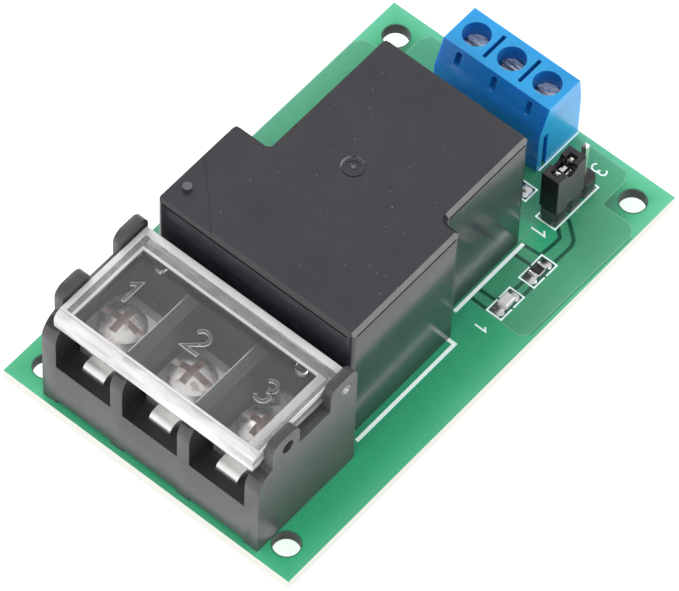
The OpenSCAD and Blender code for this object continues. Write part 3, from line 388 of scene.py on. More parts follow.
nickel = metal("nickel_plate", (0.72, 0.66, 0.62, 1.0), 0.24, (1, 1, 4))
bright_nickel = metal("bright_nickel", (0.99, 0.965, 0.92, 1.0), 0.22, (6, 1, 1), 0.0004)
bright_tin = metal("bright_tin", (1.0, 0.985, 0.95, 1.0), 0.38, (1, 1, 1), 0.0002)
screw_plate = Finish("screw_plate", Metallic=1.0)
stains = screw_plate.noise(1.3, 5)
screw_stops = [(0.36, (0.62, 0.52, 0.49, 1)), (0.48, (1, 0.94, 0.92, 1)), (0.58, (1, 1, 0.98, 1))]
screw_plate.colour(screw_plate.ramp(stains, *screw_stops))
screw_plate.gloss(stains, 0.3, 0.44)
recess = metal("screw_recess", (0.62, 0.52, 0.49, 1.0), 0.34, (1, 1, 1), 0.0004)
# Input screws: streaks of colour from dark blue-grey to white, painted reflections and glints over the
# turning marks.
zinc = Finish("zinc_plate", Metallic=0.85)
turn_marks_and_glints = zinc.noise(0.3, 4, (6, 1, 1))
zinc_glint_stops = [(0.4, (0.2, 0.23, 0.3, 1)), (0.48, (0.9, 0.92, 0.95, 1)), (0.54, WHITE)]
zinc.colour(zinc.ramp(turn_marks_and_glints, *zinc_glint_stops))
zinc.gloss(turn_marks_and_glints, 0.16, 0.34)
zinc.relief(turn_marks_and_glints, 0.07)
iron = metal("plated_iron", (0.62, 0.61, 0.58, 1.0), 0.36, (6, 1, 1))
bronze = metal("spring_bronze", (0.7, 0.52, 0.3, 1.0), 0.3, (1, 8, 1))
silver = metal("contact_silver", (0.86, 0.85, 0.82, 1.0), 0.2)
copper = metal("strip_copper", (0.72, 0.4, 0.26, 1.0), 0.3, (1, 8, 1))
gilt = metal("pin_plate", (0.88, 0.86, 0.78, 1.0), 0.34, (1, 1, 8))

wire = Finish("enamelled_wire", Metallic=0.7)
turns = wire.bands(0.2, "Z", 0.3)
wire.colour(wire.ramp(turns, (0.0, (0.28, 0.09, 0.03, 1.0)), (1.0, (0.66, 0.27, 0.1, 1.0))))
wire.gloss(wire.noise(0.6, 4), 0.22, 0.4)
wire.relief(turns, 0.06)

clear = Finish("clear_resin", Base_Color=(0.97, 0.98, 0.98, 1.0), IOR=RESIN_IOR, Transmission_Weight=0.97)
clear.gloss(clear.noise(2.5, 4), 0.015, 0.05)
clear.relief(clear.noise(5, 2), 0.004)
# Whiter, less clear resins for the cover's edges and the rims, lines, bands and ledge on its top: painted
# highlights.
frosted_highlight = hazy("clear_edge", 0.36, (4, 3), (0.94, 0.94, 0.95, 1), (0.12, 0.2), 0.2)
frosted_highlight.relief(frosted_highlight.noise(3, 2), 0.004)
flange = streaked("clear_flange", (1.6, 3, (6, 1, 1)), (0.35, (0.95, 0.95, 0.96, 1)), (0.65, WHITE),
                  (0.62, 0.12), (0.1, 0.2))
wall_clear = streaked("clear_wall", (1.2, 3, (1, 14, 0.3)), (0.42, (0.5, 0.5, 0.52, 1)), (0.54, WHITE),
                      (0.75, 0.15), (0.08, 0.2))
rim_clear = hazy("clear_rim", 0.2, (2.5, 4), (0.88, 0.88, 0.9, 1), (0.1, 0.2))
pale = hazy("clear_ledge", 0.5, (1.6, 4, (1, 6, 1)), (0.86, 0.86, 0.89, 1), (0.1, 0.2))
milky = hazy("clear_band", 0.8, (1.5, 4), (0.84, 0.84, 0.86, 1), (0.08, 0.2))

FINISH_OF = {
    "board": mask, "solder": solder, "relay_case": case_black, "relay_base": base_black, "bobbin": bobbin,
    "copper_wire": wire, "soft_iron": iron, "spring_bronze": bronze, "contact_silver": silver,
    "strip_copper": copper, "tinned": tin, "barrier_black": strip_black, "clear": clear, "nickel": nickel,
    "input_blue": block_blue, "header_black": header_black, "gilt": gilt, "lamp_base": lamp_body,
    "lamp_lens": lens, "chip": chip_black, "mould_black": mould_black}
for number in (1, 2, 3):
    FINISH_OF[f"barrier_terminal_{number}"] = bright_tin
    FINISH_OF[f"clamp_washer_{number}"] = bright_nickel
    FINISH_OF[f"clamp_screw_{number}"] = screw_plate
    FINISH_OF[f"input_screw_{number}"] = zinc


STEEP = 0.5
OUTER_RIM = 0.995
DOME_SHARE = 2.0


def dress_nodes():
    """Gives every CAD node its own finish, or that of its slot in the record."""
    for entry in frame["record"]["subparts"]:
        data = NODES[entry["node"]].data
        finish = FINISH_OF.get(entry["node"]) or FINISH_OF[entry["material_slot"]]
        data.materials.clear()
        data.materials.append(finish.material)
    board = NODES["circuit_board"].data
    board.materials.append(laminate.material)
    board.materials.append(hole_wall_shade.material)
    board.materials.append(under_mask.material)
    for face in board.polygons:
        rim = max(abs(face.center[i]) / MM / BOARD_HALF[i] for i in range(2))
        # Upright faces at the outer rim show the laminate; those inside the board, the hole walls, get the
        # near-black painted shade.
        if abs(face.normal.z) < STEEP:
            face.material_index = 1 if rim > OUTER_RIM else 2
        elif face.normal.z < 0:
            face.material_index = 3
    for number in (1, 2, 3):
        darken_recess(f"clamp_screw_{number}")


def darken_recess(node):
    """The slot and the cross in a screw's domed head get a darker metal than its dome, as painted shade."""
    low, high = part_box(node)
    axis = (low + high) / 2
    head = (high.x - low.x) / 2
    dome = DOME_SHARE * head
    rim, shallow, deep = (share * head for share in (0.97, 0.03, 0.7))
    data = NODES[node].data
    data.materials.append(recess.material)
    for face in data.polygons:
        out = math.hypot(face.center.x - axis.x, face.center.y - axis.y)
        surface = high.z - dome + math.sqrt(max(0.0, dome * dome - out * out))
        if out < rim and surface - deep < face.center.z < surface - shallow:
            face.material_index = 1


# Mesh helpers

def piece(name, bm, body, finishes, replaces=()):
    """Makes an object from a mesh under construction and lets it ride on a body."""
    mesh = bpy.data.meshes.new(name)
    bm.normal_update()
    bm.to_mesh(mesh)
    bm.free()
    obj = bpy.data.objects.new(name, mesh)
    bpy.context.scene.collection.objects.link(obj)
    for finish in finishes:
        mesh.materials.append(finish.material)
    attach(obj, body)
    if replaces:
        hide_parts(*replaces)
    return obj


def prism(bm, outline, low, high, index=0):
    """Adds an upright prism on an outline, in millimetres."""
    area = sum(a[0] * b[1] - b[0] * a[1] for a, b in zip(outline, outline[1:] + outline[:1]))
    path = outline if area > 0 else outline[::-1]
    below = [bm.verts.new(Vector((x, y, low)) * MM) for x, y in path]
    above = [bm.verts.new(Vector((x, y, high)) * MM) for x, y in path]
    faces = [bm.faces.new(below[::-1]), bm.faces.new(above)]
    for i, start in enumerate(below):
        j = (i + 1) % len(below)
        faces.append(bm.faces.new([start, below[j], above[j], above[i]]))
    for face in faces:
        face.material_index = index


def ring(bm, centre, inner, outer, low, high):
    """Adds a flat ring, in millimetres."""
    steps = 28
    circle = [(math.cos(2 * math.pi * i / steps), math.sin(2 * math.pi * i / steps)) for i in range(steps)]
    rows = []
    for radius, z in ((inner, high), (outer, high), (outer, low), (inner, low)):
        row = [Vector((centre[0] + radius * x, centre[1] + radius * y, z)) * MM for x, y in circle]
        rows.append([bm.verts.new(spot) for spot in row])
    for first, second in zip(rows, rows[1:] + rows[:1]):
        for i in range(steps):
            j = (i + 1) % steps
            bm.faces.new([first[i], second[i], second[j], first[j]])


def box_at(bm, low, high, index, ease):
    """Adds a block with eased edges, in millimetres."""
    block = bmesh.new()
    made = bmesh.ops.create_cube(block, size=1.0)["verts"]
    size = Vector(high) - Vector(low)
    centre = (Vector(high) + Vector(low)) / 2
    for vert in made:
        vert.co = Vector(vert.co[i] * size[i] + centre[i] for i in range(3)) * MM
    bmesh.ops.bevel(block, geom=list(block.edges), offset=ease * MM, offset_type="OFFSET", segments=2,
                    profile=0.5, affect="EDGES")
    for face in block.faces:
        face.material_index = index
    spare = bpy.data.meshes.new("spare")
    block.to_mesh(spare)
    block.free()
    bm.from_mesh(spare)
    bpy.data.meshes.remove(spare)


MITRE_LIMIT = 0.4


def stroke(points, width):
    """Outline of a line of this width through the points."""
    path = [Vector(point) for point in points]
    left = []
    right = []
    for i, point in enumerate(path):
        before = (point - path[i - 1]).normalized() if i else None
        after = (path[i + 1] - point).normalized() if i + 1 < len(path) else None
        along = (before or after) + (after or before)
        normal = Vector((-along.y, along.x)).normalized()
        edge = Vector((-(after or before).y, (after or before).x))
        reach = width / 2 / max(normal.dot(edge), MITRE_LIMIT)
        left.append(tuple(point + normal * reach))
        right.append(tuple(point - normal * reach))
    return left + right[::-1]


def frame_lines(low, high, width, gap=0.0):
    """Outlines of the sides of a printed box, whose left and right sides may have a gap in the middle."""
    (x0, y0), (x1, y1) = low, high
    half = width / 2
    middle = (y0 + y1) / 2
    lines = [[(x0 - half, y), (x1 + half, y)] for y in (y0, y1)]
    for x in (x0, x1):
        if gap:
            lines += [[(x, y0), (x, middle - gap / 2)], [(x, middle + gap / 2), (x, y1)]]
        else:
            lines.append([(x, y0), (x, y1)])
    return [stroke(line, width) for line in lines]


def arc(centre, radius, start, end, steps=10):
    """Points on an arc, angles in degrees."""
    angles = [math.radians(start + (end - start) * i / steps) for i in range(steps + 1)]
    return [(centre[0] + radius * math.cos(a), centre[1] + radius * math.sin(a)) for a in angles]


DIGITS = {
    1: [(-0.3, 0.24), (0.0, 0.5), (0.0, -0.5)],
    2: [*arc((0, 0.2), 0.3, 165, -35), (-0.33, -0.5), (0.36, -0.5)],
    3: [*arc((0, 0.25), 0.25, 150, -70), *arc((0, -0.22), 0.28, 75, -150)],
}


def digit(number, centre, height, right, up, width):
    """Outline of a plain numeral, with its reading directions given."""
    points = []
    for x, y in DIGITS[number]:
        points.append(tuple(Vector(centre) + (Vector(right) * x + Vector(up) * y) * height))
    return stroke(points, width)


def smooth(obj, degrees=35):
    """Shades an object smoothly, apart from edges that bend by more than this angle."""
    for face in obj.data.polygons:
        face.use_smooth = True
    obj.data.set_sharp_from_angle(angle=math.radians(degrees))


SAME_SPOT = 1e-7
FLAT_BEND, SOFT_BEND, SHARP_BEND = (math.radians(angle) for angle in (0.5, 1, 33))


def eased(node, name, width, finishes, choose=None, keep=None):
    """A copy of a CAD node with its sharp edges eased, standing in for it. Edges at kept spots stay."""
    bm = bmesh.new()
    bm.from_mesh(NODES[node].data)
    bmesh.ops.remove_doubles(bm, verts=bm.verts, dist=SAME_SPOT)
    bmesh.ops.dissolve_limit(bm, angle_limit=FLAT_BEND, verts=bm.verts, edges=bm.edges, delimit={"NORMAL"})
    sharp = []
    for face in bm.faces:
        face.smooth = False
    for edge in bm.edges:
        bend = edge.calc_face_angle(0)
        middle = (edge.verts[0].co + edge.verts[1].co) / 2 / MM
        if bend > SHARP_BEND:
            if not (keep and keep(middle)):
                sharp.append(edge)
        elif bend > SOFT_BEND:
            for face in edge.link_faces:
                face.smooth = True
    made = bmesh.ops.bevel(bm, geom=sharp, offset=width * MM, offset_type="OFFSET", segments=2,
                           profile=0.5, affect="EDGES", clamp_overlap=True)
    edges = set(made["faces"])
    for face in bm.faces:
        face.smooth = face.smooth or face in edges
        if choose:
            face.material_index = choose(face.calc_center_median() / MM, face.normal, face in edges)
    return piece(name, bm, NODES[node]["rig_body"], finishes, [node])


dress_nodes()


# Mouldings with eased edges

def node_box(node):
    """The lowest and highest corner of a CAD node, in millimetres."""
    return [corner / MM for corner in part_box(node)]


UPRIGHT = 0.8
FACING = 0.3
SQUARE = 0.01

COVER = node_box("barrier_cover")
COVER_SIDES = (-13.85, 14.15)
COVER_WALL = 2.0
COVER_PLAY = 0.1
FLANGE_D = 1.25
ROD_D = 2.6

CASE_TOP = 21.4
CASE_BEVEL = 0.5
BEVEL_TILT = (0.4, 0.9)
CASE_FILLET = 0.7
LEFT_FILLET = (-10.0, -1.4)
RIGHT_FILLET = (11.9, 3.6)
CASE_WINGS = (-14.1, 13.5)
CASE_FRONT, CASE_REAR = -15.2, 17.4
WING_REAR = 2.9
NECK_RIGHT = 11.2
SEAM_W = 0.25
SEAM_D = 0.03
SEAM_LAP = 0.02
SEAM_END = 0.8
MARK_REACH = 2.0
LAND_REACH = 1.0
GATE_REACH = 0.4
VENT = (-12.4, -12.1)
VENT_REACH = 0.8
VENT_RISE = 0.1

STRIP = node_box("barrier_body")
STRIP_WALL = 0.6
BAY_DROP = 4.0
DIVIDERS = (-4.6, 4.9)
DIVIDER_TOP = 15.8
DIVIDER_W = 1.7
DIVIDER_HIGHLIGHT_W = 0.12
DIVIDER_Y = (-29.6, -19.75)

BLOCK = node_box("input_housing")
BLOCK_WALL = 0.3
BLOCK_SLOPE_Z = 8.2
BLOCK_SLOPE = 0.45

JUMPER = node_box("jumper_shell")
JUMPER_WALL = 0.3
NOTCH = 1.0
NOTCH_LIP = 0.1


def cover_part(spot, normal, edge):
    """The clear cover's edges and rear are whiter and less clear as painted highlights, its front flange and
    its side walls streaked.
    """
    low, high = COVER
    left, right = COVER_SIDES
    at_left = left - COVER_PLAY < spot.x < left + COVER_WALL
    at_right = right - COVER_WALL < spot.x < right + COVER_PLAY
    if spot.y < low.y + FLANGE_D:
        return 2
    if (at_left or at_right) and abs(normal.x) > UPRIGHT:
        return 3
    rear = spot.y > high.y - ROD_D and abs(normal.y) > UPRIGHT
    return 1 if edge or rear else 0


def case_part(spot, normal, edge):
    """The vent's nub is painted lighter on top and the bevel round the relay's top lighter on the right and
    front, as highlights; the other eased edges are darker and matt, as painted shade.
    """
    nub = (Vector(spot[:2]) - Vector(VENT)).length < VENT_REACH
    if nub and spot.z > CASE_TOP + VENT_RISE:
        return 2
    if not edge and not BEVEL_TILT[0] < normal.z < BEVEL_TILT[1]:
        return 0
    if normal.x > FACING:
        return 2
    return 3 if normal.y < -FACING else 1


def mould_mark(spot):
    """The grooves of the mould mark on the relay are too fine for easing."""
    return (Vector(spot[:2]) - Vector(MOULD_MARK)).length < MARK_REACH


def mark_glints(case):
    """The outer groove of the mould mark gets painted glints, and the gate in its middle is lighter all
    over.
    """
    centre = Vector(MOULD_MARK)
    for face in case.data.polygons:
        spots = [case.data.vertices[i].co / MM for i in face.vertices]
        reach = [(spot.xy - centre).length for spot in spots]
        if min(spot.z for spot in spots) < CASE_TOP - MARK_REACH:
            continue
        if max(reach) < GATE_REACH:
            face.material_index = 2
        elif min(reach) > LAND_REACH and max(reach) < MARK_REACH:
            face.material_index = 4


def strip_part(spot, normal, edge):
    """The insides of the bays are painted darker than the outside, as shade."""
    low, high = STRIP
    across = low.x + STRIP_WALL < spot.x < high.x - STRIP_WALL
    return 1 if across and low.y + STRIP_WALL < spot.y and spot.z < high.z - BAY_DROP else 0


def jumper_part(spot, normal, edge):
    """The notch in the jumper's top and its front are painted darker as shade, its right side lighter as
    painted light.
    """
    low, high = JUMPER
    middle = (low.y + high.y) / 2
    in_notch = high.z - NOTCH < spot.z < high.z - NOTCH_LIP and abs(spot.y - middle) < NOTCH
    in_front = spot.y < low.y + JUMPER_WALL and normal.y < -STEEP
    if in_front or (in_notch and abs(normal.x) < SQUARE):
        return 1
    return 2 if spot.x > high.x - JUMPER_WALL and normal.x > STEEP else 0


def block_part(spot, normal, edge):
    """The screw block's hollows and its side by the relay are painted darker as shade, its top edges lighter
    as highlights.
    """
    low, high = BLOCK
    across = low.x + BLOCK_WALL < spot.x < high.x - BLOCK_WALL
    inside = across and spot.y < high.y - BLOCK_WALL and spot.z < high.z - BLOCK_WALL
    front = low.y + max(0.0, spot.z - BLOCK_SLOPE_Z) * BLOCK_SLOPE
    if edge and spot.z > high.z - BLOCK_WALL:
        return 2
    if inside and spot.y > front + BLOCK_WALL:
        return 1
    return 3 if normal.y < -FACING else 0


mark_glints(eased("relay_cover", "relay_case", 0.1,
                [case_black, case_edge_shade, case_highlight_and_wear, case_front_lit, case_mark], case_part, mould_mark))
eased("barrier_body", "barrier_moulding", 0.16, [strip_black, strip_inside_shade], strip_part)
eased("barrier_cover", "flip_cover_moulding", 0.14, [clear, frosted_highlight, flange, wall_clear], cover_part)
eased("input_housing", "input_moulding", 0.14,
      [block_blue, block_inside_shade, block_edge_highlight, block_shaded], block_part)
eased("header_strip", "header_moulding", 0.1, [header_black])
eased("jumper_shell", "jumper_moulding", 0.08,
      [jumper_black, jumper_notch_shade, jumper_side_lit], jumper_part)


def case_corners():
    """Rounded tops of the fillets between the relay's wings and its neck."""
    proud, overlap = 0.003, 0.2
    top = CASE_TOP + proud
    steps = 10
    reach = CASE_FILLET + CASE_BEVEL + overlap
    bm = bmesh.new()
    for centre, start, inner in ((LEFT_FILLET, -90, 1), (RIGHT_FILLET, -180, -1)):
        tip = (centre[0] + inner * reach, centre[1] - reach)
        rows = []
        for radius, z in ((CASE_FILLET, top - CASE_BEVEL), (CASE_FILLET + CASE_BEVEL, top)):
            outline = [*arc(centre, radius, start, start + 90, steps), tip]
            rows.append([bm.verts.new(Vector((x, y, z)) * MM) for x, y in outline])
        below, above = rows
        bm.faces.new(above)
        bm.faces.new(below[::-1])
        for i in range(len(below)):
            j = (i + 1) % len(below)
            face = bm.faces.new([below[i], below[j], above[j], above[i]])
            if i < steps:
                face.smooth = True
                face.material_index = 1
    bmesh.ops.recalc_face_normals(bm, faces=bm.faces)
    piece("case_corners", bm, "board", [case_black, case_edge_shade])


def case_seams():
    """Dark seams under the relay's bevel, at the front and on the right."""
    left, right = CASE_WINGS
    low = CASE_TOP - CASE_BEVEL
    bm = bmesh.new()
    for line in ([(left + SEAM_END, CASE_FRONT), (right - SEAM_END, CASE_FRONT)],
                 [(right, CASE_FRONT + SEAM_END), (right, WING_REAR - SEAM_END)],
                 [(NECK_RIGHT, WING_REAR + SEAM_END), (NECK_RIGHT, CASE_REAR - SEAM_END)]):
        prism(bm, stroke(line, SEAM_D), low - SEAM_W, low + SEAM_LAP)
    piece("case_seams", bm, "board", [case_seam])


def divider_highlights():
    """Painted highlights: bright metallic strips on the left edges of the tops of the strip's dividers."""
    sunk, proud = 0.05, 0.01
    bm = bmesh.new()
    for middle in DIVIDERS:
        x = middle - (DIVIDER_W - DIVIDER_HIGHLIGHT_W) / 2
        line = stroke([(x, DIVIDER_Y[0]), (x, DIVIDER_Y[1])], DIVIDER_HIGHLIGHT_W)
        prism(bm, line, DIVIDER_TOP - sunk, DIVIDER_TOP + proud)
    piece("divider_highlights", bm, "board", [strip_edge_highlight])


case_corners()
case_seams()
divider_highlights()


# Print and copper on the top of the board

POUR = [(-20.4, -14.0), (-14.6, -14.0), (-14.6, 20.0), (11.0, 20.0), (11.0, 7.5), (19.1, 7.48), (19.75, 8.3),
        (20.1, 25.7), (19.6, 26.65), (18.7, 27.08), (14.95, 27.1), (14.9, 31.2), (14.2, 32.4), (-14.2, 32.4),
        (-14.9, 31.2), (-14.95, 27.1), (-18.9, 27.08), (-19.9, 26.65), (-20.4, 25.7)]
BARE_PATCH = [(11.2, 17.45), (13.95, 17.5), (14.0, 20.3), (13.2, 21.1), (11.2, 21.1)]
GAPS = [
    [(13.4, 23.1), (15.6, 21.3), (15.95, 20.4), (15.88, 17.6)],
    [(13.16, 21.5), (14.26, 20.5), (14.27, 19.3), (14.1, 17.5)],
    [(11.4, 17.05), (14.1, 17.3)], [(11.4, 15.4), (14.1, 15.55)],
    [(14.9, 13.4), (14.83, 11.7)], [(16.07, 13.4), (16.08, 11.7)],
    [(11.4, 9.25), (14.2, 9.35)], [(11.4, 7.85), (14.2, 7.8)]]
POUR_SHADOW_LINE = [(19.9, 8.3), (20.25, 25.7)]
SIDE_W = 0.2
HOLES = [(x, y) for x in (-17.25, 17.25) for y in (-29.75, 29.75)]
HOLE_R = 1.6
HOLE_RIM = 0.12
GAP_W = 0.45
RIM_W = 0.12
SILK_W = 0.2
SILK_GAP = 0.3
WIDE_SILK_W = 0.45
LAMP_BOX = [(14.25, 7.73), (16.28, 11.72)]
RESISTOR_BOX = [(14.19, 13.4), (16.33, 17.4)]
BASE_BOX = [(4.2, 21.8), (8.23, 23.84)]
HEADER_BOX = [(10.42, 20.98), (13.16, 28.65)]
RELAY_LINES = [[(11.7, 5.2), (11.7, 17.2)], [(14.45, -14.8), (14.45, 1.9), (13.3, 1.9)]]
BLOCK_LINE = [(6.74, 26.0), (6.74, 33.1)]
PRINTED_DIGITS = [(1, (11.9, 19.5), 1.9), (3, (11.75, 30.6), 1.9), (1, (15.2, 5.4), 1.5)]
DIGIT_RIGHT, DIGIT_UP = (0, -1), (1, 0)
COPPER_TOP = BOARD_TOP + COPPER
RIM_LIFT, PATCH_LIFT, GAP_LIFT = 0.003, 0.004, 0.006


def top_print():
    """Copper areas, the gaps between them with painted shade, painted shadow in the printed boxes and beside
    the copper's right side, dark rims of the corner holes in the same painted shade, and the white print.
    """
    copper_mesh = bmesh.new()
    prism(copper_mesh, POUR, BOARD_TOP - COPPER, COPPER_TOP)
    for start, stop in zip(POUR, POUR[1:] + POUR[:1]):
        prism(copper_mesh, stroke([start, stop], RIM_W), BOARD_TOP, COPPER_TOP + RIM_LIFT, 1)
    piece("copper_pour", copper_mesh, "board", [pour_mask, rim_mask])
    gap_shade_mesh = bmesh.new()
    prism(gap_shade_mesh, BARE_PATCH, BOARD_TOP, COPPER_TOP + PATCH_LIFT, 1)
    # Gaps in the copper, as dark strokes with painted shade in them.
    for line in GAPS:
        prism(gap_shade_mesh, stroke(line, GAP_W), BOARD_TOP, COPPER_TOP + GAP_LIFT)
    # Dark patches inside the printed boxes of the lamp and the two resistors: painted shadow round those
    # parts.
    for (x0, y0), (x1, y1) in (LAMP_BOX, RESISTOR_BOX, BASE_BOX):
        prism(gap_shade_mesh, [(x0, y0), (x1, y0), (x1, y1), (x0, y1)], BOARD_TOP, COPPER_TOP + PATCH_LIFT)
    # A band of painted shadow beside the copper's right side.
    prism(gap_shade_mesh, stroke(POUR_SHADOW_LINE, SIDE_W), BOARD_TOP, COPPER_TOP, 2)
    # Dark rims round the corner holes, in painted shade.
    rims = bmesh.new()
    for hole in HOLES:
        ring(rims, hole, HOLE_R, HOLE_R + HOLE_RIM, BOARD_TOP - COPPER, COPPER_TOP)
    bmesh.ops.recalc_face_normals(rims, faces=rims.faces)
    piece("hole_rims", rims, "board", [side_shade_mask])
    piece("copper_gaps_and_painted_shade", gap_shade_mesh, "board", [gap_shade_mask, mask, side_shade_mask])
    silk = bmesh.new()
    outlines = [stroke(line, WIDE_SILK_W) for line in RELAY_LINES]
    outlines.append(stroke(BLOCK_LINE, SILK_W))
    for box in (LAMP_BOX, RESISTOR_BOX):
        outlines += frame_lines(box[0], box[1], SILK_W, SILK_GAP)
    for box in (BASE_BOX, HEADER_BOX):
        outlines += frame_lines(box[0], box[1], SILK_W)
    for number, place, height in PRINTED_DIGITS:
        outlines.append(digit(number, place, height, DIGIT_RIGHT, DIGIT_UP, SILK_W))
    for outline in outlines:
        prism(silk, outline, BOARD_TOP, BOARD_TOP + INK)
    piece("white_print", silk, "board", [ink])


top_print()


# Rims and numerals on the clear cover

RIM_FRONT = 0.97
RIM_FRONT_W = 0.3
RIM_SIDE_W = 0.7
RIM_REAR_W = 0.95
RIM_LINE_W = 0.38
RIM_INNER = 1.75
RIM_OUTER_W = 0.25
RIM_LEDGE = 0.75
RIM_SUNK, RIM_PROUD = 0.03, 0.05
RIM_EASE = 0.03
NUMERAL_Y = -24.6
NUMERAL_H = 2.9
NUMERAL_W = 0.42
NUMERAL_SUNK, NUMERAL_PROUD = 0.02, 0.2


def cover_highlight_bands():
    """Painted highlights: whiter rims round the top of the cover, and lines, bands and a ledge over its
    walls and its rod, standing in for the light these catch under the top.
    """
    low, high = COVER
    left, right = COVER_SIDES
    front = low.y + RIM_FRONT
    near = front + RIM_FRONT_W
    rod, rear = high.y - ROD_D, high.y - RIM_REAR_W
    side, line = RIM_SIDE_W, RIM_LINE_W
    in_left, in_right = left + RIM_INNER, right - RIM_INNER
    outer, ledge = right - RIM_OUTER_W, right - RIM_LEDGE
    rims = (((left, near), (left + side, rear)), ((outer, near), (right, rear)),
            ((left, rear), (right, high.y)), ((left, front), (right, near)))
    lines = (((in_left - line, near), (in_left, rod)), ((in_left - line, rod), (in_right, rod + line)))
    bands = (((left + side, near), (in_left - line, rear)), ((ledge, near), (outer, rear)),
             ((in_left - line, rod + line), (ledge, rear)))
    ledges = (((in_right, near), (ledge, rod + line)),)
    bm = bmesh.new()
    for index, outlines in enumerate((rims, lines, bands, ledges)):
        for (x0, y0), (x1, y1) in outlines:
            box_at(bm, (x0, y0, high.z - RIM_SUNK), (x1, y1, high.z + RIM_PROUD), index, RIM_EASE)
    smooth(piece("cover_highlight_bands", bm, "flip_cover", [rim_clear, frosted_highlight, milky, pale]))


def cover_numerals():
    """Raised numerals of the poles, with brighter sides."""
    top = COVER[1].z
    bm = bmesh.new()
    for number in (1, 2, 3):
        x = sum(corner.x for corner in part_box(f"clamp_washer_{number}")) / 2 / MM
        outline = digit(number, (x, NUMERAL_Y), NUMERAL_H, (1, 0), (0, 1), NUMERAL_W)
        prism(bm, outline, top - NUMERAL_SUNK, top + NUMERAL_PROUD)
    for face in bm.faces:
        face.normal_update()
        face.material_index = 0 if abs(face.normal.z) > STEEP else 1
    piece("cover_numerals", bm, "flip_cover", [clear, rim_clear])


cover_highlight_bands()
cover_numerals()


# Small parts on the board

FILLET_FOOT = 0.06
FILLET_BULGE = 0.18
FILLET_TAPER = 0.25
FILLET_ARCH = ((-0.5, 0.0), (-0.42, 0.7), (0.0, 1.0), (0.42, 0.7), (0.5, 0.0))
SOLDER_REACH = 0.8
SOLDER_SPREAD = 1.2
SOLDERED = (("lamp_resistor", 1, 0.75), ("base_resistor", 0, 0.75), ("lamp_base", 1, 0.8))
CHIP_CAP = 0.22
CAP_T = 0.06
CAP_SIDE = 0.04
COAT_SUNK, COAT_LOW = 0.02, 0.01
BODY_EASE, COAT_EASE, CAP_EASE = 0.03, 0.02, 0.05
LAMP_CAP = 0.45
LAMP_CAP_T = 0.02
LAMP_CAP_TOP = 0.03


def fillet(bm, root, outward, width, height):
    """Adds a concave solder fillet that runs from the board up to a chip's end."""
    side = Vector((-outward.y, outward.x, 0))
    steps = 6
    rows = []
    for i in range(steps + 1):
        along = SOLDER_REACH * i / steps
        lift = FILLET_FOOT + (height - FILLET_FOOT) * (1 - i / steps) ** 2
        bulge = 1 + FILLET_BULGE * math.sin(math.pi * i / steps)
        spread = width * bulge * (1 - FILLET_TAPER * (i / steps) ** 3)
        row = []
        for share, rise in FILLET_ARCH:
            spot = root + outward * along + side * spread * share + Vector((0, 0, lift * rise))
            row.append(bm.verts.new(spot * MM))
        rows.append(row)
    for a, b in zip(rows, rows[1:]):
        for i in range(len(FILLET_ARCH) - 1):
            bm.faces.new([a[i], b[i], b[i + 1], a[i + 1]])
        bm.faces.new([a[-1], b[-1], b[0], a[0]])
    bm.faces.new(rows[0])
    bm.faces.new(rows[-1][::-1])


def chip(node, name, length_axis):
    """A chip resistor: ceramic body, dark coat and wrapped tinned ends."""
    low, high = node_box(node)
    across = 1 - length_axis
    end = CHIP_CAP * (high[length_axis] - low[length_axis])
    bm = bmesh.new()
    body_low, body_high = low.copy(), high.copy()
    body_low[length_axis] += CAP_T
    body_high[length_axis] -= CAP_T
    body_low[across] += CAP_SIDE
    body_high[across] -= CAP_SIDE
    body_high.z -= CAP_T
    box_at(bm, body_low, body_high, 0, BODY_EASE)
    coat_low, coat_high = body_low.copy(), high.copy()
    coat_low[length_axis] = low[length_axis] + end
    coat_high[length_axis] = high[length_axis] - end
    coat_high[across] = body_high[across]
    coat_low.z = body_high.z - COAT_SUNK
    coat_high.z -= COAT_LOW
    box_at(bm, coat_low, coat_high, 1, COAT_EASE)
    near, far = low[length_axis], high[length_axis]
    for start, stop in ((near, near + end), (far - end, far)):
        cap_low, cap_high = low.copy(), high.copy()
        cap_low[length_axis] = start
        cap_high[length_axis] = stop
        box_at(bm, cap_low, cap_high, 2, CAP_EASE)
    smooth(piece(name, bm, "board", [ceramic, chip_black, tin], [node]))


def chip_solder():
    """Solder at both ends of the chips and the lamp."""
    bm = bmesh.new()
    for node, axis, rise in SOLDERED:
        low, high = node_box(node)
        middle = (low + high) / 2
        for sign, edge in ((-1, low[axis]), (1, high[axis])):
            root = Vector((middle.x, middle.y, BOARD_TOP))
            root[axis] = edge
            outward = Vector((0, 0, 0))
            outward[axis] = sign
            width = SOLDER_SPREAD * (high - low)[1 - axis]
            fillet(bm, root, outward, width, (high.z - low.z) * rise)
    smooth(piece("chip_solder", bm, "board", [solder]), 60)


def lamp_ends():
    """Tinned ends of the indicator lamp."""
    low, high = node_box("lamp_base")
    bm = bmesh.new()
    for start, stop in ((low.y, low.y + LAMP_CAP), (high.y - LAMP_CAP, high.y)):
        cap_low = (low.x - LAMP_CAP_T, start - LAMP_CAP_T, low.z)
        cap_high = (high.x + LAMP_CAP_T, stop + LAMP_CAP_T, high.z + LAMP_CAP_TOP)
        box_at(bm, cap_low, cap_high, 0, CAP_EASE)
    smooth(piece("lamp_ends", bm, "board", [tin]))


chip("lamp_resistor", "lamp_resistor_chip", 1)
chip("base_resistor", "base_resistor_chip", 0)
lamp_ends()
chip_solder()


# Copper and pads under the board

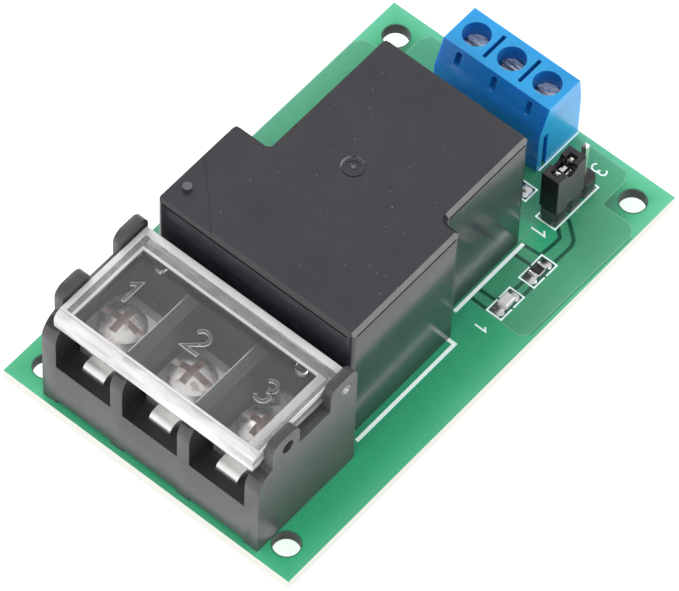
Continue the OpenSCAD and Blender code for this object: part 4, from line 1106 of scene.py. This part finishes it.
BAR_TAILS = [(-9.35, -20.6), (0.15, -20.6), (9.65, -20.6)]
INPUT_TAILS = [(-6.08, 26.75), (-1.0, 26.75), (4.08, 26.75)]
HEADER_TAILS = [(11.79, 22.26), (11.79, 24.8), (11.79, 27.34)]
COIL_TAILS = [(-6.65, 13.9), (8.55, 13.9)]
CONTACT_TAILS = [(-12.2, -8.0), (0.95, 15.6), (11.6, -8.0)]
POWER_TRACKS = [
    [(-13.4, -5.6), (-10.2, -5.6), (-6.2, -12.0), (-5.4, -24.0), (-13.6, -24.0), (-14.4, -12.0)],
    [(-2.2, 18.4), (3.6, 18.4), (4.4, -24.0), (-4.1, -24.0)],
    [(13.6, -5.6), (9.8, -5.6), (6.0, -12.0), (5.7, -24.0), (14.0, -24.0), (14.6, -12.0)]]
THIN_TRACKS = [
    [(-6.08, 26.75), (-8.6, 24.2), (-8.6, 16.0), (-6.65, 13.9)],
    [(-1.0, 26.75), (-1.0, 30.6), (13.4, 30.6), (14.6, 29.4), (14.6, 23.4), (11.79, 22.26)],
    [(4.08, 26.75), (6.4, 24.4), (9.6, 24.4), (11.79, 24.8)],
    [(8.55, 13.9), (10.4, 15.8), (10.4, 19.6), (7.4, 22.6)],
    [(11.79, 27.34), (9.2, 28.4), (7.4, 28.4), (4.08, 26.75)]]
TRACK_W = 1.3
PADS = [(BAR_TAILS, 1.4, 2.3), (INPUT_TAILS, 1.05, 1.55), (HEADER_TAILS, 1.0, 1.2), (COIL_TAILS, 1.05, 1.6),
        (CONTACT_TAILS, 1.6, 2.5)]


def underside():
    """Tracks under the mask and tinned pads round the soldered tails."""
    tracks = bmesh.new()
    for outline in POWER_TRACKS:
        prism(tracks, outline, -COPPER, COPPER)
    for line in THIN_TRACKS:
        prism(tracks, stroke(line, TRACK_W), -COPPER, COPPER)
    piece("under_tracks", tracks, "board", [pour_mask])
    pads = bmesh.new()
    for places, inner, outer in PADS:
        for place in places:
            ring(pads, place, inner, outer, -2 * COPPER, 0.0)
    bmesh.ops.recalc_face_normals(pads, faces=pads.faces)
    piece("under_pads", pads, "board", [solder])


underside()


# Light, floor and camera

FLOOR_SIZE = 6
FLOOR_DROP = 0.05
FLOOR_GLOW = 0.75
SKY = 0.8
LIGHTS = [("right", (0.54, 0.28, 0.23), 0.26, 0.64), ("left", (-0.52, 0.26, 0.28), 0.4, 1.4),
          ("front", (0.1, -0.58, 0.22), 0.26, 0.82)]
AZIMUTH, ELEVATION, ROLL = (math.radians(value) for value in (38.028, 56.263, 2.683))
DISTANCE = 0.67223
FOCAL_PX, WIDTH_PX = 6093.3, 679
TARGET = (0.794, -1.53)
SENSOR_W = 36
CLIP = (0.01, 20)


def studio():
    """White floor and sky, and three area lights, each given by place, size and power."""
    floor_z = cad_box[0][2] - FLOOR_DROP * MM
    bpy.ops.mesh.primitive_plane_add(size=FLOOR_SIZE, location=(0, 0, floor_z))
    floor = bpy.context.object
    floor.name = "floor"
    paper = Finish("floor_paper", Roughness=0.7, Emission_Color=WHITE, Emission_Strength=FLOOR_GLOW)
    paper_stops = [(NOISE_LOW, (0.55, 0.55, 0.55, 1)), (NOISE_HIGH, (0.58, 0.58, 0.58, 1))]
    paper.colour(paper.ramp(paper.noise(60, 3), *paper_stops))
    floor.data.materials.append(paper.material)
    world = bpy.data.worlds.new("studio")
    bpy.context.scene.world = world
    world.use_nodes = True
    sky = world.node_tree.nodes["Background"]
    sky.inputs["Color"].default_value = WHITE
    sky.inputs["Strength"].default_value = SKY
    for name, place, size, power in LIGHTS:
        light = bpy.data.lights.new(name, "AREA")
        light.size = size
        light.energy = power
        lamp = bpy.data.objects.new(name, light)
        bpy.context.scene.collection.objects.link(lamp)
        lamp.location = place
        lamp.rotation_euler = (-Vector(place)).to_track_quat("-Z", "Y").to_euler()
    view = bpy.context.scene.view_settings
    view.view_transform = "Standard"
    view.look = "None"


def camera():
    """The camera that was fitted to the photograph."""
    target = Vector((*TARGET, BOARD_TOP)) * MM
    level = math.cos(ELEVATION)
    back = Vector((math.sin(AZIMUTH) * level, -math.cos(AZIMUTH) * level, math.sin(ELEVATION)))
    right = Vector((math.cos(AZIMUTH), math.sin(AZIMUTH), 0))
    up = back.cross(right)
    across = right * math.cos(ROLL) + up * math.sin(ROLL)
    upright = up * math.cos(ROLL) - right * math.sin(ROLL)
    lens_data = bpy.data.cameras.new("camera")
    lens_data.sensor_width = SENSOR_W
    lens_data.lens = FOCAL_PX * SENSOR_W / WIDTH_PX
    lens_data.clip_start, lens_data.clip_end = CLIP
    eye = bpy.data.objects.new("camera", lens_data)
    bpy.context.scene.collection.objects.link(eye)
    turn = Matrix((across, upright, back)).transposed().to_4x4()
    eye.matrix_world = Matrix.Translation(target + back * DISTANCE) @ turn
    bpy.context.scene.camera = eye


studio()
camera()
